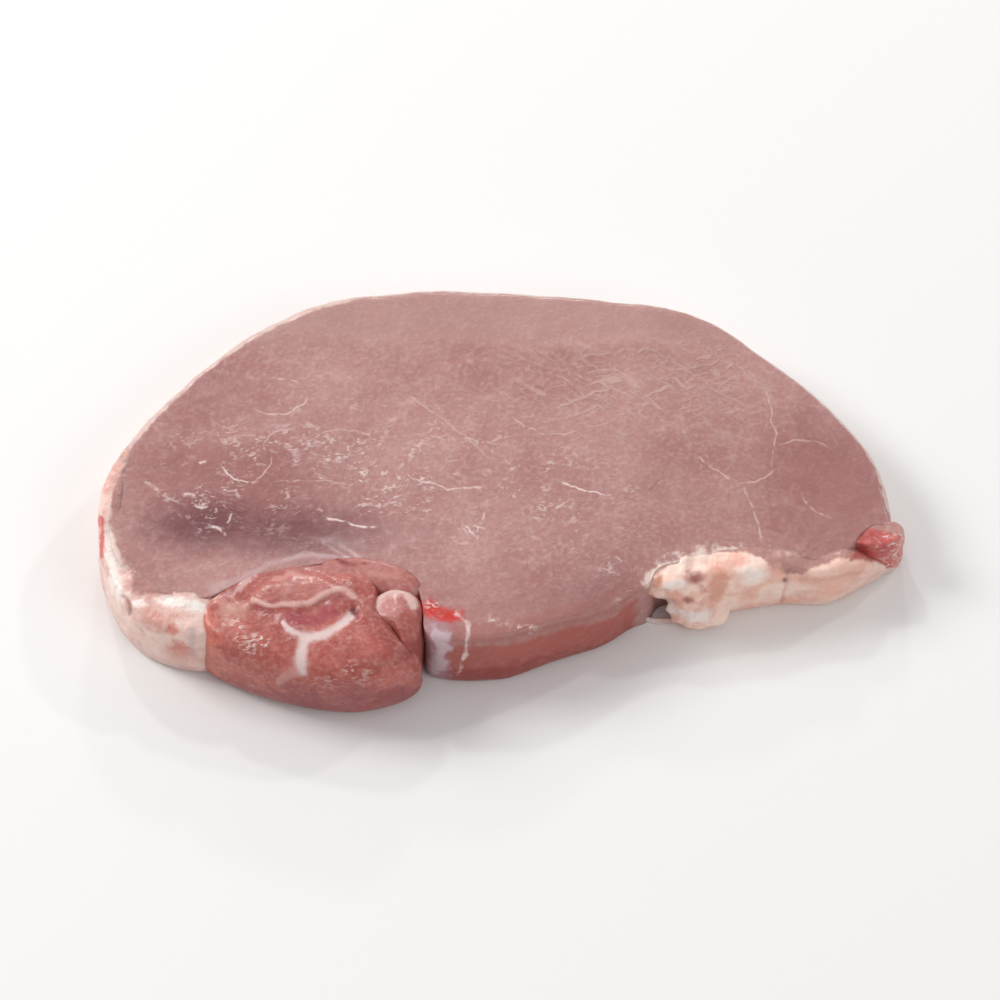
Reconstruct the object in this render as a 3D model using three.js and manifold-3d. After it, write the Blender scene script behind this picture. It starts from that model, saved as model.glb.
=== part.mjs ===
// A raw boneless pork loin steak, cut across the loin and lying flat on its back face.
// Millimetres, +Z up, X along the steak, -Y towards the edge with the small side muscle.
// The steak is several muscles held together by seams of fat.
// Every one of them runs through its whole thickness.
import * as THREE from "three";
import { mergeVertices } from "three/addons/utils/BufferGeometryUtils.js";
import Module from "manifold-3d";

const wasm = await Module();
wasm.setup();

// Driving sizes of the whole slice
const THICKNESS = 12;
const THIN_END = 3; // how much thinner the slice is at its pointed end
const TAPER_START = 12; // where along X the thinning begins
const TAPER_STOP = 60;
const HOLLOW = 1.5; // depth of the dip in the face above the side muscle
const HOLLOW_CENTRE = [-31, -7];
const HOLLOW_REACH = [17, 7.5];
const SLUMP = 3; // how far the face sinks towards the free edge beside the torn fat
const SLUMP_CENTRE = [19, -23];
const SLUMP_REACH = [9, 6];
const WAVE = 0.45; // height of the slow waves of the whole face
const WAVE_X = 17; // length along X in which a wave's phase moves by one radian
const WAVE_Y = 14;
const WAVE_START = 0.7; // phase of the wave at X 0, in radians
const SIDE_CROWN = 1.3; // how far the side muscle's middle swells over the face
const SIDE_REACH = [17, 11]; // how far from its middle that swelling goes along X and Y
const LOBE_CROWN = 1.4;
const LOBE_REACH = [4, 7];
const BAND_RISE = 0.6; // how far the band over the side muscle stands proud
const LEFT_FAT_DROP = 0.2; // how far each strip of fat lies below the face
const RIGHT_FAT_DROP = 0.3;
const ROLL_HEIGHT = 0.4; // the soft rolls along the right fat
const ROLL_LENGTH = 2.6;
const TIP_SHARE = 0.92; // height of the tip as a share of the face's height
const SEAM = 0.3; // gap between two neighbouring pieces
const EYE_EDGE = 2.6; // how far the rounding of each slab's edge reaches in
const SIDE_EDGE = 5;
const LOBE_EDGE = 1.8;
const TIP_EDGE = 1.8;
const CUT_SQUARENESS = 0.42; // exponent of an edge's section: 1 is round, 0 is square
const SOFT_SQUARENESS = 0.62;
const END_BLUNTNESS = 9; // exponent at the ends of a long piece: the higher, the blunter
const RIPPLE = 0.3; // unevenness of the trimmed outline
// The waves of that unevenness: how many go round, their strength and their phase in radians
const RIPPLE_WAVES = [[9, 1, 1], [17, 0.6, 4]];
const SAME_PLACE = 1e-4; // corners closer than this are one corner

// Outlines seen from above, anticlockwise. Each is a closed smooth curve through its points.
const EYE_OUTLINE = [
  [57.7, -5], [56.2, 4.4], [49.9, 13.6], [40.6, 22.7], [30.5, 29.6], [15, 32.7],
  [-3, 34], [-17, 33.3], [-30, 30.1], [-42.6, 21.8], [-51.6, 11.8], [-57, 2.6],
  [-57.6, -7], [-53.4, -18], [-41, -22.4], [-32, -21], [-22, -22.4],
  [-14, -26.2], [-5.4, -27.6], [2, -26.9], [9, -24.4],
  [16.4, -21.3], [22.4, -17], [29, -13.8], [38, -13], [47, -12.8], [54, -10.8],
];
const EYE_CENTRE = [-6, 11];
const SIDE_OUTLINE = [
  [-42.2, -27.4], [-32.4, -32.4], [-22, -34.2], [-14.6, -32.2], [-10.9, -28.4],
  [-11.6, -21.8], [-17, -16.6], [-27, -14], [-36.6, -16.6], [-43, -21.8],
];
const SIDE_CENTRE = [-27, -24.2];
const LOBE_OUTLINE = [
  [-15.8, -25.2], [-12.8, -29.2], [-11.3, -25.6], [-11.8, -20.6], [-15.6, -18.6],
  [-19.2, -20.6],
];
const LOBE_CENTRE = [-14.4, -23];
const TIP_OUTLINE = [
  [53.4, -9.4], [57.2, -9.4], [59.6, -7], [58.4, -4.8], [55.2, -5.4], [51.4, -8.4],
];
const TIP_CENTRE = [56, -7.4];

// Centre lines of the long thin pieces, with their widths at the start, the middle and the end
const BAND_PATH = [[-27.4, -14.4], [-20.8, -14.8], [-14.6, -16.8], [-11.2, -20.4]];
const BAND_WIDTHS = [1.4, 3.2, 2.4];
const LEFT_FAT_PATH = [
  [-58, 1], [-58.2, -6.5], [-57, -13], [-53.6, -18.8], [-48.6, -22.2], [-41, -23.4],
];
const LEFT_FAT_WIDTHS = [1.6, 3.6, 7.4];
const RIGHT_FAT_PATH = [
  [22.8, -15.2], [27, -15.6], [31, -14.8], [36, -14], [42, -13.1], [48, -13.4],
  [53, -11.2], [57.4, -9],
];
const RIGHT_FAT_WIDTHS = [4.6, 3.8, 1.8];
// Ragged lumps at the torn end of the right fat: x, y, height over the ground and radius
const FAT_LUMPS = [
  [26.4, -16.6, 3.2, 1.9], [28.8, -17, 2.9, 2.5], [31.4, -16.9, 2.6, 2.3],
  [27.4, -16.6, 6.2, 2.1],
];

// 1 at a centre and falling smoothly to nothing, with its own reach along X and Y.
function bell(x, y, centre, reach) {
  return Math.exp(-(((x - centre[0]) / reach[0]) ** 2) - ((y - centre[1]) / reach[1]) ** 2);
}

// Height of the cut face over the ground: flat and a little wavy, thinner at the pointed end,
// with a dip above the side muscle and a slump towards the torn fat.
function cutFace(x, y) {
  const taper = THIN_END * THREE.MathUtils.smoothstep(x, TAPER_START, TAPER_STOP);
  const dip = HOLLOW * bell(x, y, HOLLOW_CENTRE, HOLLOW_REACH);
  const slump = SLUMP * bell(x, y, SLUMP_CENTRE, SLUMP_REACH);
  const wave = WAVE * Math.sin(x / WAVE_X + WAVE_START) * Math.cos(y / WAVE_Y);
  return THICKNESS - taper - dip - slump + wave;
}

// A power that keeps the sign, for a superellipse.
function signedPower(value, power) {
  return Math.sign(value) * Math.abs(value) ** power;
}

function smoothCurve(points, closed) {
  const places = points.map(([x, y]) => new THREE.Vector3(x, y, 0));
  return new THREE.CatmullRomCurve3(places, closed, "catmullrom", 0.5);
}

// The direction across a path, to its right.
function across(along) {
  return new THREE.Vector3(along.y, -along.x, 0);
}

// How far the trimmed outline wanders in and out at a share of the way round.
function rippleAt(share) {
  const waves = RIPPLE_WAVES.map(([count, strength, start]) => {
    return strength * Math.sin(count * 2 * Math.PI * share + start);
  });
  return RIPPLE * waves.reduce((sum, wave) => sum + wave);
}

// Points of a closed outline, moved outwards by grow and by the ripple of a trimmed edge.
function outlinePoints({ points, count, rippled = false }, grow = 0) {
  const curve = smoothCurve(points, true);
  return Array.from({ length: count }, (_, i) => {
    const out = across(curve.getTangent(i / count));
    return curve.getPoint(i / count).addScaledVector(out, grow + (rippled ? rippleAt(i / count) : 0));
  });
}

// Triangles between rings of equal count, which all run the same way round.
function joinRings(indices, firstRing, rings, count) {
  for (let r = 0; r < rings - 1; r++) {
    for (let i = 0; i < count; i++) {
      const a = firstRing + r * count + i;
      const b = firstRing + r * count + ((i + 1) % count);
      indices.push(a, b, b + count, a, b + count, a + count);
    }
  }
}

// A fan that closes a ring on one point.
function closeRing(indices, ring, count, point, upwards) {
  for (let i = 0; i < count; i++) {
    const a = ring + i;
    const b = ring + ((i + 1) % count);
    indices.push(...(upwards ? [a, b, point] : [b, a, point]));
  }
}

function solidGeometry(positions, indices) {
  const geometry = new THREE.BufferGeometry();
  geometry.setAttribute("position", new THREE.Float32BufferAttribute(positions, 3));
  geometry.setIndex(indices);
  return geometry;
}

// A thick slice with the given outline. Its edge is half a superellipse, drawn in towards the
// centre so that it never crosses itself, and from there rings run over the top face.
function slab(piece) {
  const { centre, count, top, edge, squareness, edgeSteps = 8, faceSteps = 7 } = piece;
  const positions = [];
  const indices = [];
  const outline = outlinePoints(piece);
  const middle = new THREE.Vector3(centre[0], centre[1], 0);
  const drawnIn = (place, inset) => place.clone().lerp(middle, inset / place.distanceTo(middle));
  for (let j = 0; j <= edgeSteps; j++) {
    const angle = Math.PI * (j / edgeSteps - 0.5);
    const inset = edge * (1 - signedPower(Math.cos(angle), squareness));
    const share = (1 + signedPower(Math.sin(angle), squareness)) / 2;
    for (const place of outline) {
      const p = drawnIn(place, inset);
      positions.push(p.x, p.y, share * top(p.x, p.y));
    }
  }
  for (let k = 1; k < faceSteps; k++) {
    for (const place of outline) {
      const p = drawnIn(place, edge).lerp(middle, k / faceSteps);
      positions.push(p.x, p.y, top(p.x, p.y));
    }
  }
  const rings = edgeSteps + faceSteps;
  joinRings(indices, 0, rings, count);
  positions.push(middle.x, middle.y, top(middle.x, middle.y));
  closeRing(indices, (rings - 1) * count, count, rings * count, true);
  positions.push(middle.x, middle.y, 0);
  closeRing(indices, 0, count, rings * count + 1, false);
  return solidGeometry(positions, indices);
}

// Width of a long piece at a share of its length, through three given widths.
function widthAt([start, middle, end], share) {
  const rise = THREE.MathUtils.smoothstep(share, 0, 0.5);
  const fall = THREE.MathUtils.smoothstep(share, 0.5, 1);
  return start + (middle - start) * rise + (end - middle) * fall;
}

// Both ends of a long piece are blunt: this goes from 0 to 1 and back.
function endShare(share) {
  return Math.sqrt(1 - Math.abs(2 * share - 1) ** END_BLUNTNESS);
}

// A long piece: a superellipse section carried along a path, standing on the ground.
function roll({ path, widths, steps, around = 16, top }) {
  const positions = [];
  const indices = [];
  const curve = smoothCurve(path, false);
  for (let s = 1; s < steps; s++) {
    const share = s / steps;
    const place = curve.getPoint(share);
    const out = across(curve.getTangent(share));
    const end = endShare(share);
    const half = (widthAt(widths, share) / 2) * end;
    const height = top(place.x, place.y);
    for (let i = 0; i < around; i++) {
      const angle = (-2 * Math.PI * i) / around;
      const side = half * signedPower(Math.cos(angle), SOFT_SQUARENESS);
      const lift = signedPower(Math.sin(angle), SOFT_SQUARENESS) * end;
      const p = place.clone().addScaledVector(out, side);
      positions.push(p.x, p.y, (height / 2) * (1 + lift));
    }
  }
  const rings = steps - 1;
  joinRings(indices, 0, rings, around);
  for (const share of [0, 1]) {
    const p = curve.getPoint(share);
    positions.push(p.x, p.y, top(p.x, p.y) / 2);
  }
  closeRing(indices, 0, around, rings * around, false);
  closeRing(indices, (rings - 1) * around, around, rings * around + 1, true);
  return solidGeometry(positions, indices);
}

// The ground that a piece takes, with the seam round it, as a tall block that cuts its neighbours.
function blockOf(corners) {
  const shape = new THREE.Shape(corners.map((p) => new THREE.Vector2(p.x, p.y)));
  const block = new THREE.ExtrudeGeometry(shape, { depth: 3 * THICKNESS, bevelEnabled: false });
  return block.translate(0, 0, -THICKNESS);
}

function slabGround(piece) {
  return blockOf(outlinePoints(piece, SEAM));
}

function lumpGround([x, y, , radius]) {
  return blockOf(new THREE.Path().absarc(x, y, radius + SEAM, 0, 2 * Math.PI).getPoints(9));
}

function rollGround({ path, widths, steps }) {
  const curve = smoothCurve(path, false);
  const sides = [[], []];
  for (let s = 0; s <= steps; s++) {
    const share = s / steps;
    const along = curve.getTangent(share);
    const out = across(along);
    const half = (widthAt(widths, share) / 2) * endShare(share) + SEAM;
    const beyond = (share === 0 ? -SEAM : 0) + (share === 1 ? SEAM : 0);
    const place = curve.getPoint(share).addScaledVector(along, beyond);
    sides[0].push(place.clone().addScaledVector(out, half));
    sides[1].unshift(place.clone().addScaledVector(out, -half));
  }
  return blockOf([...sides[0], ...sides[1]]);
}

function toManifold(geometry) {
  const bare = geometry.clone();
  bare.deleteAttribute("normal");
  bare.deleteAttribute("uv");
  const merged = mergeVertices(bare, SAME_PLACE);
  return new wasm.Manifold(
    new wasm.Mesh({
      numProp: 3,
      vertProperties: merged.attributes.position.array,
      triVerts: new Uint32Array(merged.index.array),
    }),
  );
}

function fromManifold(solid) {
  const mesh = solid.getMesh();
  const geometry = solidGeometry(mesh.vertProperties, Array.from(mesh.triVerts));
  geometry.computeVertexNormals();
  return geometry;
}

// The largest body that is left after the neighbours' ground is cut away.
function cutBack(solid, grounds) {
  const cut = grounds.reduce((left, ground) => left.subtract(toManifold(ground)), solid);
  const bodies = cut.decompose().sort((a, b) => b.volume() - a.volume());
  return fromManifold(bodies[0]);
}

// A solid with round lumps grown onto it.
function withLumps(geometry, lumps) {
  return lumps.reduce((solid, [x, y, z, radius]) => {
    const lump = new THREE.SphereGeometry(radius, 14, 9).translate(x, y, z);
    return solid.add(toManifold(lump));
  }, toManifold(geometry));
}

// A piece's crown: it swells by the given height in its middle.
function crowned(centre, reach, height) {
  return (x, y) => {
    const far = ((x - centre[0]) / reach[0]) ** 2 + ((y - centre[1]) / reach[1]) ** 2;
    return cutFace(x, y) + height * (1 - Math.min(far, 1));
  };
}

const eye = {
  points: EYE_OUTLINE,
  centre: EYE_CENTRE,
  count: 104,
  rippled: true,
  top: cutFace,
  edge: EYE_EDGE,
  squareness: CUT_SQUARENESS,
  faceSteps: 9,
};
const side = {
  points: SIDE_OUTLINE,
  centre: SIDE_CENTRE,
  count: 52,
  top: crowned(SIDE_CENTRE, SIDE_REACH, SIDE_CROWN),
  edge: SIDE_EDGE,
  squareness: SOFT_SQUARENESS,
};
const lobe = {
  points: LOBE_OUTLINE,
  centre: LOBE_CENTRE,
  count: 26,
  top: crowned(LOBE_CENTRE, LOBE_REACH, LOBE_CROWN),
  edge: LOBE_EDGE,
  squareness: SOFT_SQUARENESS,
  edgeSteps: 6,
  faceSteps: 2,
};
const tip = {
  points: TIP_OUTLINE,
  centre: TIP_CENTRE,
  count: 24,
  top: (x, y) => TIP_SHARE * cutFace(x, y),
  edge: TIP_EDGE,
  squareness: SOFT_SQUARENESS,
  edgeSteps: 6,
  faceSteps: 2,
};
const band = {
  path: BAND_PATH,
  widths: BAND_WIDTHS,
  steps: 20,
  around: 12,
  top: (x, y) => cutFace(x, y) + BAND_RISE,
};
const leftFat = {
  path: LEFT_FAT_PATH,
  widths: LEFT_FAT_WIDTHS,
  steps: 30,
  top: (x, y) => cutFace(x, y) - LEFT_FAT_DROP,
};
// The fat at the pointed end hangs in soft rolls, so its height swells and dips along it.
const rightFat = {
  path: RIGHT_FAT_PATH,
  widths: RIGHT_FAT_WIDTHS,
  steps: 36,
  top: (x, y) => cutFace(x, y) - RIGHT_FAT_DROP + ROLL_HEIGHT * Math.sin(x / ROLL_LENGTH),
};

const bandGround = rollGround(band);
const lobeGround = slabGround(lobe);
const sideGround = slabGround(side);
const leftFatGround = rollGround(leftFat);
const rightFatGround = rollGround(rightFat);
const tipGround = slabGround(tip);

const MEAT = { color: 0xbc8b87, roughness: 0.42, metalness: 0 };
const DARK_MEAT = { color: 0xad6a60, roughness: 0.38, metalness: 0 };
const RED_MEAT = { color: 0xa6544e, roughness: 0.38, metalness: 0 };
const FAT = { color: 0xe0c4b8, roughness: 0.45, metalness: 0 };

const lumpGrounds = FAT_LUMPS.map(lumpGround);
const besideEye = [sideGround, lobeGround, bandGround, leftFatGround, rightFatGround, tipGround];
const pieces = [
  ["eye_muscle", MEAT, cutBack(toManifold(slab(eye)), [...besideEye, ...lumpGrounds])],
  ["side_muscle", DARK_MEAT, cutBack(toManifold(slab(side)), [lobeGround, bandGround])],
  ["side_lobe", DARK_MEAT, cutBack(toManifold(slab(lobe)), [bandGround])],
  ["seam_band", DARK_MEAT, roll(band)],
  ["left_fat", FAT, cutBack(toManifold(roll(leftFat)), [sideGround])],
  ["right_fat", FAT, cutBack(withLumps(roll(rightFat), FAT_LUMPS), [tipGround])],
  ["end_tip", RED_MEAT, slab(tip)],
];

const steak = new THREE.Group();
for (const [name, finish, geometry] of pieces) {
  const mesh = new THREE.Mesh(geometry, new THREE.MeshStandardMaterial(finish));
  mesh.name = name;
  steak.add(mesh);
}

// The origin goes under the middle of the steak, on the ground.
const whole = new THREE.Box3().setFromObject(steak);
const centre = whole.getCenter(new THREE.Vector3());
for (const mesh of steak.children) {
  mesh.position.set(-centre.x, -centre.y, -whole.min.z);
}

export default steak;
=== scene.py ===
# A raw boneless pork loin steak, laid flat on a pale studio floor.
# Each muscle and each strip of fat is its own piece, cut right through the thickness of the slice.
# Sizes in the sections are millimetres in the steak's own drawing, and metres once in a mesh.
import itertools
import math

import bpy
import numpy as np
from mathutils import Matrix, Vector


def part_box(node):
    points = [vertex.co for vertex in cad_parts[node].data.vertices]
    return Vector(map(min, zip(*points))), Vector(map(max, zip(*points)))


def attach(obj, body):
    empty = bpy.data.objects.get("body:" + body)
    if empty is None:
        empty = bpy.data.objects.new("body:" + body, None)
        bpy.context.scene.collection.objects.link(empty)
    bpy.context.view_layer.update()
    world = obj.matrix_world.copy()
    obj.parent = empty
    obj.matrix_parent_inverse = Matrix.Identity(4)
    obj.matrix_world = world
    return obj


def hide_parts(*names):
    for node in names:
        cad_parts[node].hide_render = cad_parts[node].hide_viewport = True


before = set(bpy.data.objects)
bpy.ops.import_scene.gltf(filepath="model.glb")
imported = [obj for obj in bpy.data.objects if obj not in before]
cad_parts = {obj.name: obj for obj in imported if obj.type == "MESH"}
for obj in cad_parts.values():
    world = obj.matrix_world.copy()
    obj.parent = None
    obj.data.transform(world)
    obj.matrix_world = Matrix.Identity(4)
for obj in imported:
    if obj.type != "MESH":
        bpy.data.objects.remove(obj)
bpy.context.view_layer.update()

# Camera: looking down on the shown face, from the side of the small dark muscle.
# The steak fills four fifths of the picture's width.
CAMERA_ELEVATION = math.radians(58)
CAMERA_DISTANCE = 1.0
PICTURE_WIDTH = 0.148
AIM = (0, 0.0008, 0.005)

camera = bpy.data.objects.new("camera", bpy.data.cameras.new("camera"))
bpy.context.collection.objects.link(camera)
camera.location = (
    AIM[0],
    AIM[1] - CAMERA_DISTANCE * math.cos(CAMERA_ELEVATION),
    AIM[2] + CAMERA_DISTANCE * math.sin(CAMERA_ELEVATION),
)
camera.rotation_euler = (math.pi / 2 - CAMERA_ELEVATION, 0, 0)
camera.data.lens = camera.data.sensor_width * CAMERA_DISTANCE / PICTURE_WIDTH
bpy.context.scene.camera = camera

# Slice outline tools: every muscle is drawn from above by a closed curve through a few points.
# The frame's own tip gives the small offset from that drawing to the frame.
MM = 0.001
CURVE_FINENESS = 64
THICKNESS = 12
THIN_END = 3
TAPER = (12, 60)
HOLLOW = 1.5
HOLLOW_CENTRE = (-31, -7)
HOLLOW_REACH = (17, 7.5)
SLUMP = 3
SLUMP_CENTRE = (19, -23)
SLUMP_REACH = (9, 6)
WAVE = 0.45
WAVE_LENGTHS = (17, 14)
WAVE_START = 0.7
TIP_OUTLINE = [(53.4, -9.4), (57.2, -9.4), (59.6, -7), (58.4, -4.8), (55.2, -5.4), (51.4, -8.4)]


def catmull_rom(before, start, end, after, share):
    """A place between start and end on the cubic whose slope at each of the two is half the step from
    the point before it to the point after it."""
    slope = (end - before) * share
    bend = (2 * before - 5 * start + 4 * end - after) * share ** 2
    twist = (3 * (start - end) + after - before) * share ** 3
    return start + (slope + bend + twist) / 2


def evenly(curve, count):
    """Places along a fine polyline, the same length apart, from its first point to its last."""
    along = np.concatenate([[0], np.cumsum(np.linalg.norm(np.diff(curve, axis=0), axis=1))])
    places = np.linspace(0, along[-1], count)
    return np.stack([np.interp(places, along, curve[:, k]) for k in range(curve.shape[1])], axis=1)


def closed_curve(points, count):
    """Places the same length apart on the closed smooth curve through the points."""
    knots = np.array(points, float)
    fine = np.arange(len(knots) * CURVE_FINENESS + 1) / CURVE_FINENESS
    knot = fine.astype(int)
    around = [knots[(knot + step) % len(knots)] for step in (-1, 0, 1, 2)]
    return evenly(catmull_rom(*around, (fine - knot)[:, None]), count + 1)[:-1]


def open_curve(points, count):
    """Places the same length apart on the smooth curve through the points. Past each end it goes on as
    if the last step were taken once more."""
    knots = np.array(points, float)
    knots = np.vstack([2 * knots[0] - knots[1], knots, 2 * knots[-1] - knots[-2]])
    fine = np.arange((len(points) - 1) * CURVE_FINENESS + 1) / CURVE_FINENESS
    knot = np.minimum(fine.astype(int), len(points) - 2)
    around = [knots[knot + step] for step in (0, 1, 2, 3)]
    return evenly(catmull_rom(*around, (fine - knot)[:, None]), count)


def to_the_right(places):
    """The direction to the right of each place's run along an open curve."""
    run = np.gradient(places, axis=0)
    right = np.stack([run[:, 1], -run[:, 0]], axis=1)
    return right / np.linalg.norm(right, axis=1)[:, None]


def smoothstep(value, low, high):
    """0 below low, 1 above high, and three times the square less twice the cube between them."""
    share = np.clip((value - low) / (high - low), 0, 1)
    return share * share * (3 - 2 * share)


def bell(places, centre, reach):
    """e to the minus square of the distance from a centre, counted in reaches along X and along Y."""
    offset = (places[..., :2] - np.array(centre)) / np.array(reach)
    return np.exp(-(offset ** 2).sum(axis=-1))


def cut_face(places):
    """Height of the shown cut face: the thickness, less the taper to the pointed end, the dip over the
    side muscle and the slump beside the torn fat, plus one slow wave each way."""
    x, y = places[..., 0], places[..., 1]
    taper = THIN_END * smoothstep(x, *TAPER)
    dip = HOLLOW * bell(places, HOLLOW_CENTRE, HOLLOW_REACH)
    slump = SLUMP * bell(places, SLUMP_CENTRE, SLUMP_REACH)
    wave = WAVE * np.sin(x / WAVE_LENGTHS[0] + WAVE_START) * np.cos(y / WAVE_LENGTHS[1])
    return THICKNESS - taper - dip - slump + wave


tip_drawn = closed_curve(TIP_OUTLINE, count=400)
tip_low, tip_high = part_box("end_tip")
DRAWN_TO_FRAME = np.array([
    (tip_low[0] + tip_high[0]) / 2 / MM - (tip_drawn[:, 0].min() + tip_drawn[:, 0].max()) / 2,
    (tip_low[1] + tip_high[1]) / 2 / MM - (tip_drawn[:, 1].min() + tip_drawn[:, 1].max()) / 2,
    0,
])

# Body of a slice: rows of places run from the middle of the back face, round the edge, to the middle
# of the shown face. Lumps, folds and knife marks are then raised along the surface's own direction.
NOISE_CELLS = 48
MIDDLE_SHARE = 0.03
EDGE_SAMPLES = 4000
EDGE_DEPTH = 2.6
LINE_SAMPLES = 40
WANDER = 0.4
WANDER_CELL = 2.2
WANDER_SEEDS = (81, 82)


def edge_profile(rows, squareness):
    """How far in and how high each row of the edge lies, as shares, on half a superellipse. The rows
    are the same length apart on an edge of the usual depth and the slice's thickness."""
    angle = np.linspace(-math.pi / 2, math.pi / 2, EDGE_SAMPLES)
    inset = 1 - np.abs(np.cos(angle)) ** squareness
    height = (1 + np.sign(angle) * np.abs(np.sin(angle)) ** squareness) / 2
    size = (EDGE_DEPTH, THICKNESS)
    return evenly(np.stack([inset, height], axis=1) * size, rows) / size


def slice_rows(outline, centre, edge, top, face_rows, edge_rows, squareness=0.42):
    """A thick slice as rows of places. The edge is drawn in towards the centre, so that it never
    crosses itself, and inside it a row lies at an even share of the way to the centre."""
    middle = np.array(centre, float)
    inward = middle - outline
    inward /= np.linalg.norm(inward, axis=1)[:, None]
    edge = np.broadcast_to(edge, len(outline))[:, None]
    inner = outline + inward * edge
    shares = np.linspace(1, MIDDLE_SHARE, face_rows)
    rows = []
    for share in shares[:0:-2]:
        flat = middle + (inner - middle) * share
        rows.append(np.column_stack([flat, np.zeros(len(flat))]))
    for inset, height in edge_profile(edge_rows, squareness):
        flat = outline + inward * edge * inset
        rows.append(np.column_stack([flat, height * top(flat)]))
    for share in shares[1:]:
        flat = middle + (inner - middle) * share
        rows.append(np.column_stack([flat, top(flat)]))
    return np.stack(rows)


def facing(rows):
    """The outward direction at each place: the cross product of the steps along and across the rows,
    pointing away from the middle of the piece."""
    across = np.roll(rows, -1, axis=1) - np.roll(rows, 1, axis=1)
    along = np.gradient(rows, axis=0)
    normal = np.cross(across, along)
    normal /= np.linalg.norm(normal, axis=2)[..., None] + 1e-12
    from_middle = rows - rows.reshape(-1, 3).mean(axis=0)
    return normal * np.sign((normal * from_middle).sum())


def soft_noise(places, cell, seed):
    """Smooth random numbers from -1 to 1. Each corner of a grid of cells has its own value, and a
    place takes its eight corners' mean, weighted by the smoothstep of its share of the cell."""
    values = np.random.default_rng(seed).uniform(-1, 1, (NOISE_CELLS,) * 3)
    turned = places @ np.array([[0.8, 0.6, 0], [-0.6, 0.8, 0], [0, 0, 1]])
    grid = turned / np.array(cell, float)
    corner = np.floor(grid).astype(int)
    share = smoothstep(grid - corner, 0, 1)
    total = np.zeros(places.shape[:-1])
    for step in itertools.product((0, 1), repeat=3):
        weight = np.where(np.array(step) == 1, share, 1 - share).prod(axis=-1)
        at = (corner + step) % NOISE_CELLS
        total += weight * values[at[..., 0], at[..., 1], at[..., 2]]
    return total


def shown_place(places):
    """Where a place is seen by someone looking along the slanted line of the shown view: X, and the
    sum of Y and Z weighted by the sine and the cosine of the view's elevation."""
    seen_up = places[..., 1] * math.sin(CAMERA_ELEVATION) + places[..., 2] * math.cos(CAMERA_ELEVATION)
    return np.stack([places[..., 0], seen_up], axis=-1)


def near_line(places, points, start_width, end_width):
    """1 on a smooth line and e to the minus 1 at its half width, seen along the shown view. The width
    changes evenly from the line's start to its end, and soft noise moves the line a little each way."""
    line = open_curve(points, LINE_SAMPLES)
    widths = np.linspace(start_width, end_width, len(line)) / 2
    wander = [soft_noise(places, WANDER_CELL, seed) for seed in WANDER_SEEDS]
    seen = shown_place(places) + WANDER * np.stack(wander, axis=-1)
    best = np.zeros(seen.shape[:-1])
    for place, width in zip(line, widths):
        best = np.maximum(best, np.exp(-((seen - place) ** 2).sum(axis=-1) / width ** 2))
    return best


def near_spot(places, centre, reach):
    """The bell round a centre, seen along the shown view."""
    return bell(shown_place(places), centre, reach)


def strongest(places, shapes):
    """The strongest of several marks at each place. A shape of three values is a line with its width at
    each end, and a shape of two is a spot with its reach."""
    return np.maximum.reduce([
        near_line(places, *shape) if len(shape) == 3 else near_spot(places, *shape) for shape in shapes
    ])


def drawn(places, table):
    """The marks of a table that gives each mark's name its shapes."""
    return {mark: strongest(places, shapes) for mark, shapes in table.items()}


def blotches(places, spots):
    """The strongest of several spots at each place, each with its strength, its centre and its reach."""
    return np.maximum.reduce([strength * near_spot(places, *spot) for strength, *spot in spots])


def bumps(places, *layers):
    """The sum of layers of soft noise, each with its height, its cell and its seed."""
    return sum(height * soft_noise(places, cell, seed) for height, cell, seed in layers)


def raised(rows, relief):
    """The rows moved along the surface's own direction by a relief, and kept above the ground."""
    places = rows + facing(rows) * relief[..., None]
    places[..., 2] = np.maximum(places[..., 2], 0)
    return places


def signed_volume(places, quads):
    """The sum over the faces of the volume between the face and the middle, negative when the faces
    point inwards."""
    a, b, c, d = (places[quads[:, k]] - places.mean(axis=0) for k in range(4))
    return (a * np.cross(b, c)).sum() + (a * np.cross(c, d)).sum()


def closed_grid(rows, first=0):
    """The places of the rows with a point at each end, and their faces pointing outwards: quads
    between the rows and a fan round each point. first is the number of the first place."""
    count, around = rows.shape[:2]
    places = np.vstack([rows.reshape(-1, 3), rows[[0, -1]].mean(axis=1)])
    row, column = np.meshgrid(np.arange(count - 1), np.arange(around), indexing="ij")
    following = (column + 1) % around
    quads = np.stack([
        row * around + column, row * around + following,
        (row + 1) * around + following, (row + 1) * around + column,
    ], axis=-1).reshape(-1, 4)
    column = np.arange(around)
    following = (column + 1) % around
    last = (count - 1) * around
    start_fan = np.stack([following, column, np.full(around, count * around)], axis=1)
    end_fan = np.stack([last + column, last + following, np.full(around, count * around + 1)], axis=1)
    faces = (quads + first).tolist() + (start_fan + first).tolist() + (end_fan + first).tolist()
    if signed_volume(places, quads) < 0:
        faces = [face[::-1] for face in faces]
    return places, faces


def joined_mesh(name, grids):
    """One mesh of several closed grids, in metres in the frame."""
    places, faces = [], []
    for rows in grids:
        more_places, more_faces = closed_grid(rows, sum(len(p) for p in places))
        places.append(more_places)
        faces += more_faces
    mesh = bpy.data.meshes.new(name)
    mesh.from_pydata(((np.vstack(places) + DRAWN_TO_FRAME) * MM).tolist(), [], faces)
    return mesh


def finish_piece(name, mesh, marks, material, node=None):
    """Puts the marks on a mesh, which the material reads by name, and its object in the scene."""
    for mark, values in marks.items():
        layer = mesh.attributes.new(mark, "FLOAT", "POINT")
        layer.data.foreach_set("value", values.astype(np.float32))
    mesh.shade_smooth()
    mesh.materials.append(material)
    piece = bpy.data.objects.new(name, mesh)
    bpy.context.collection.objects.link(piece)
    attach(piece, "root")
    if node:
        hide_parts(node)


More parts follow.
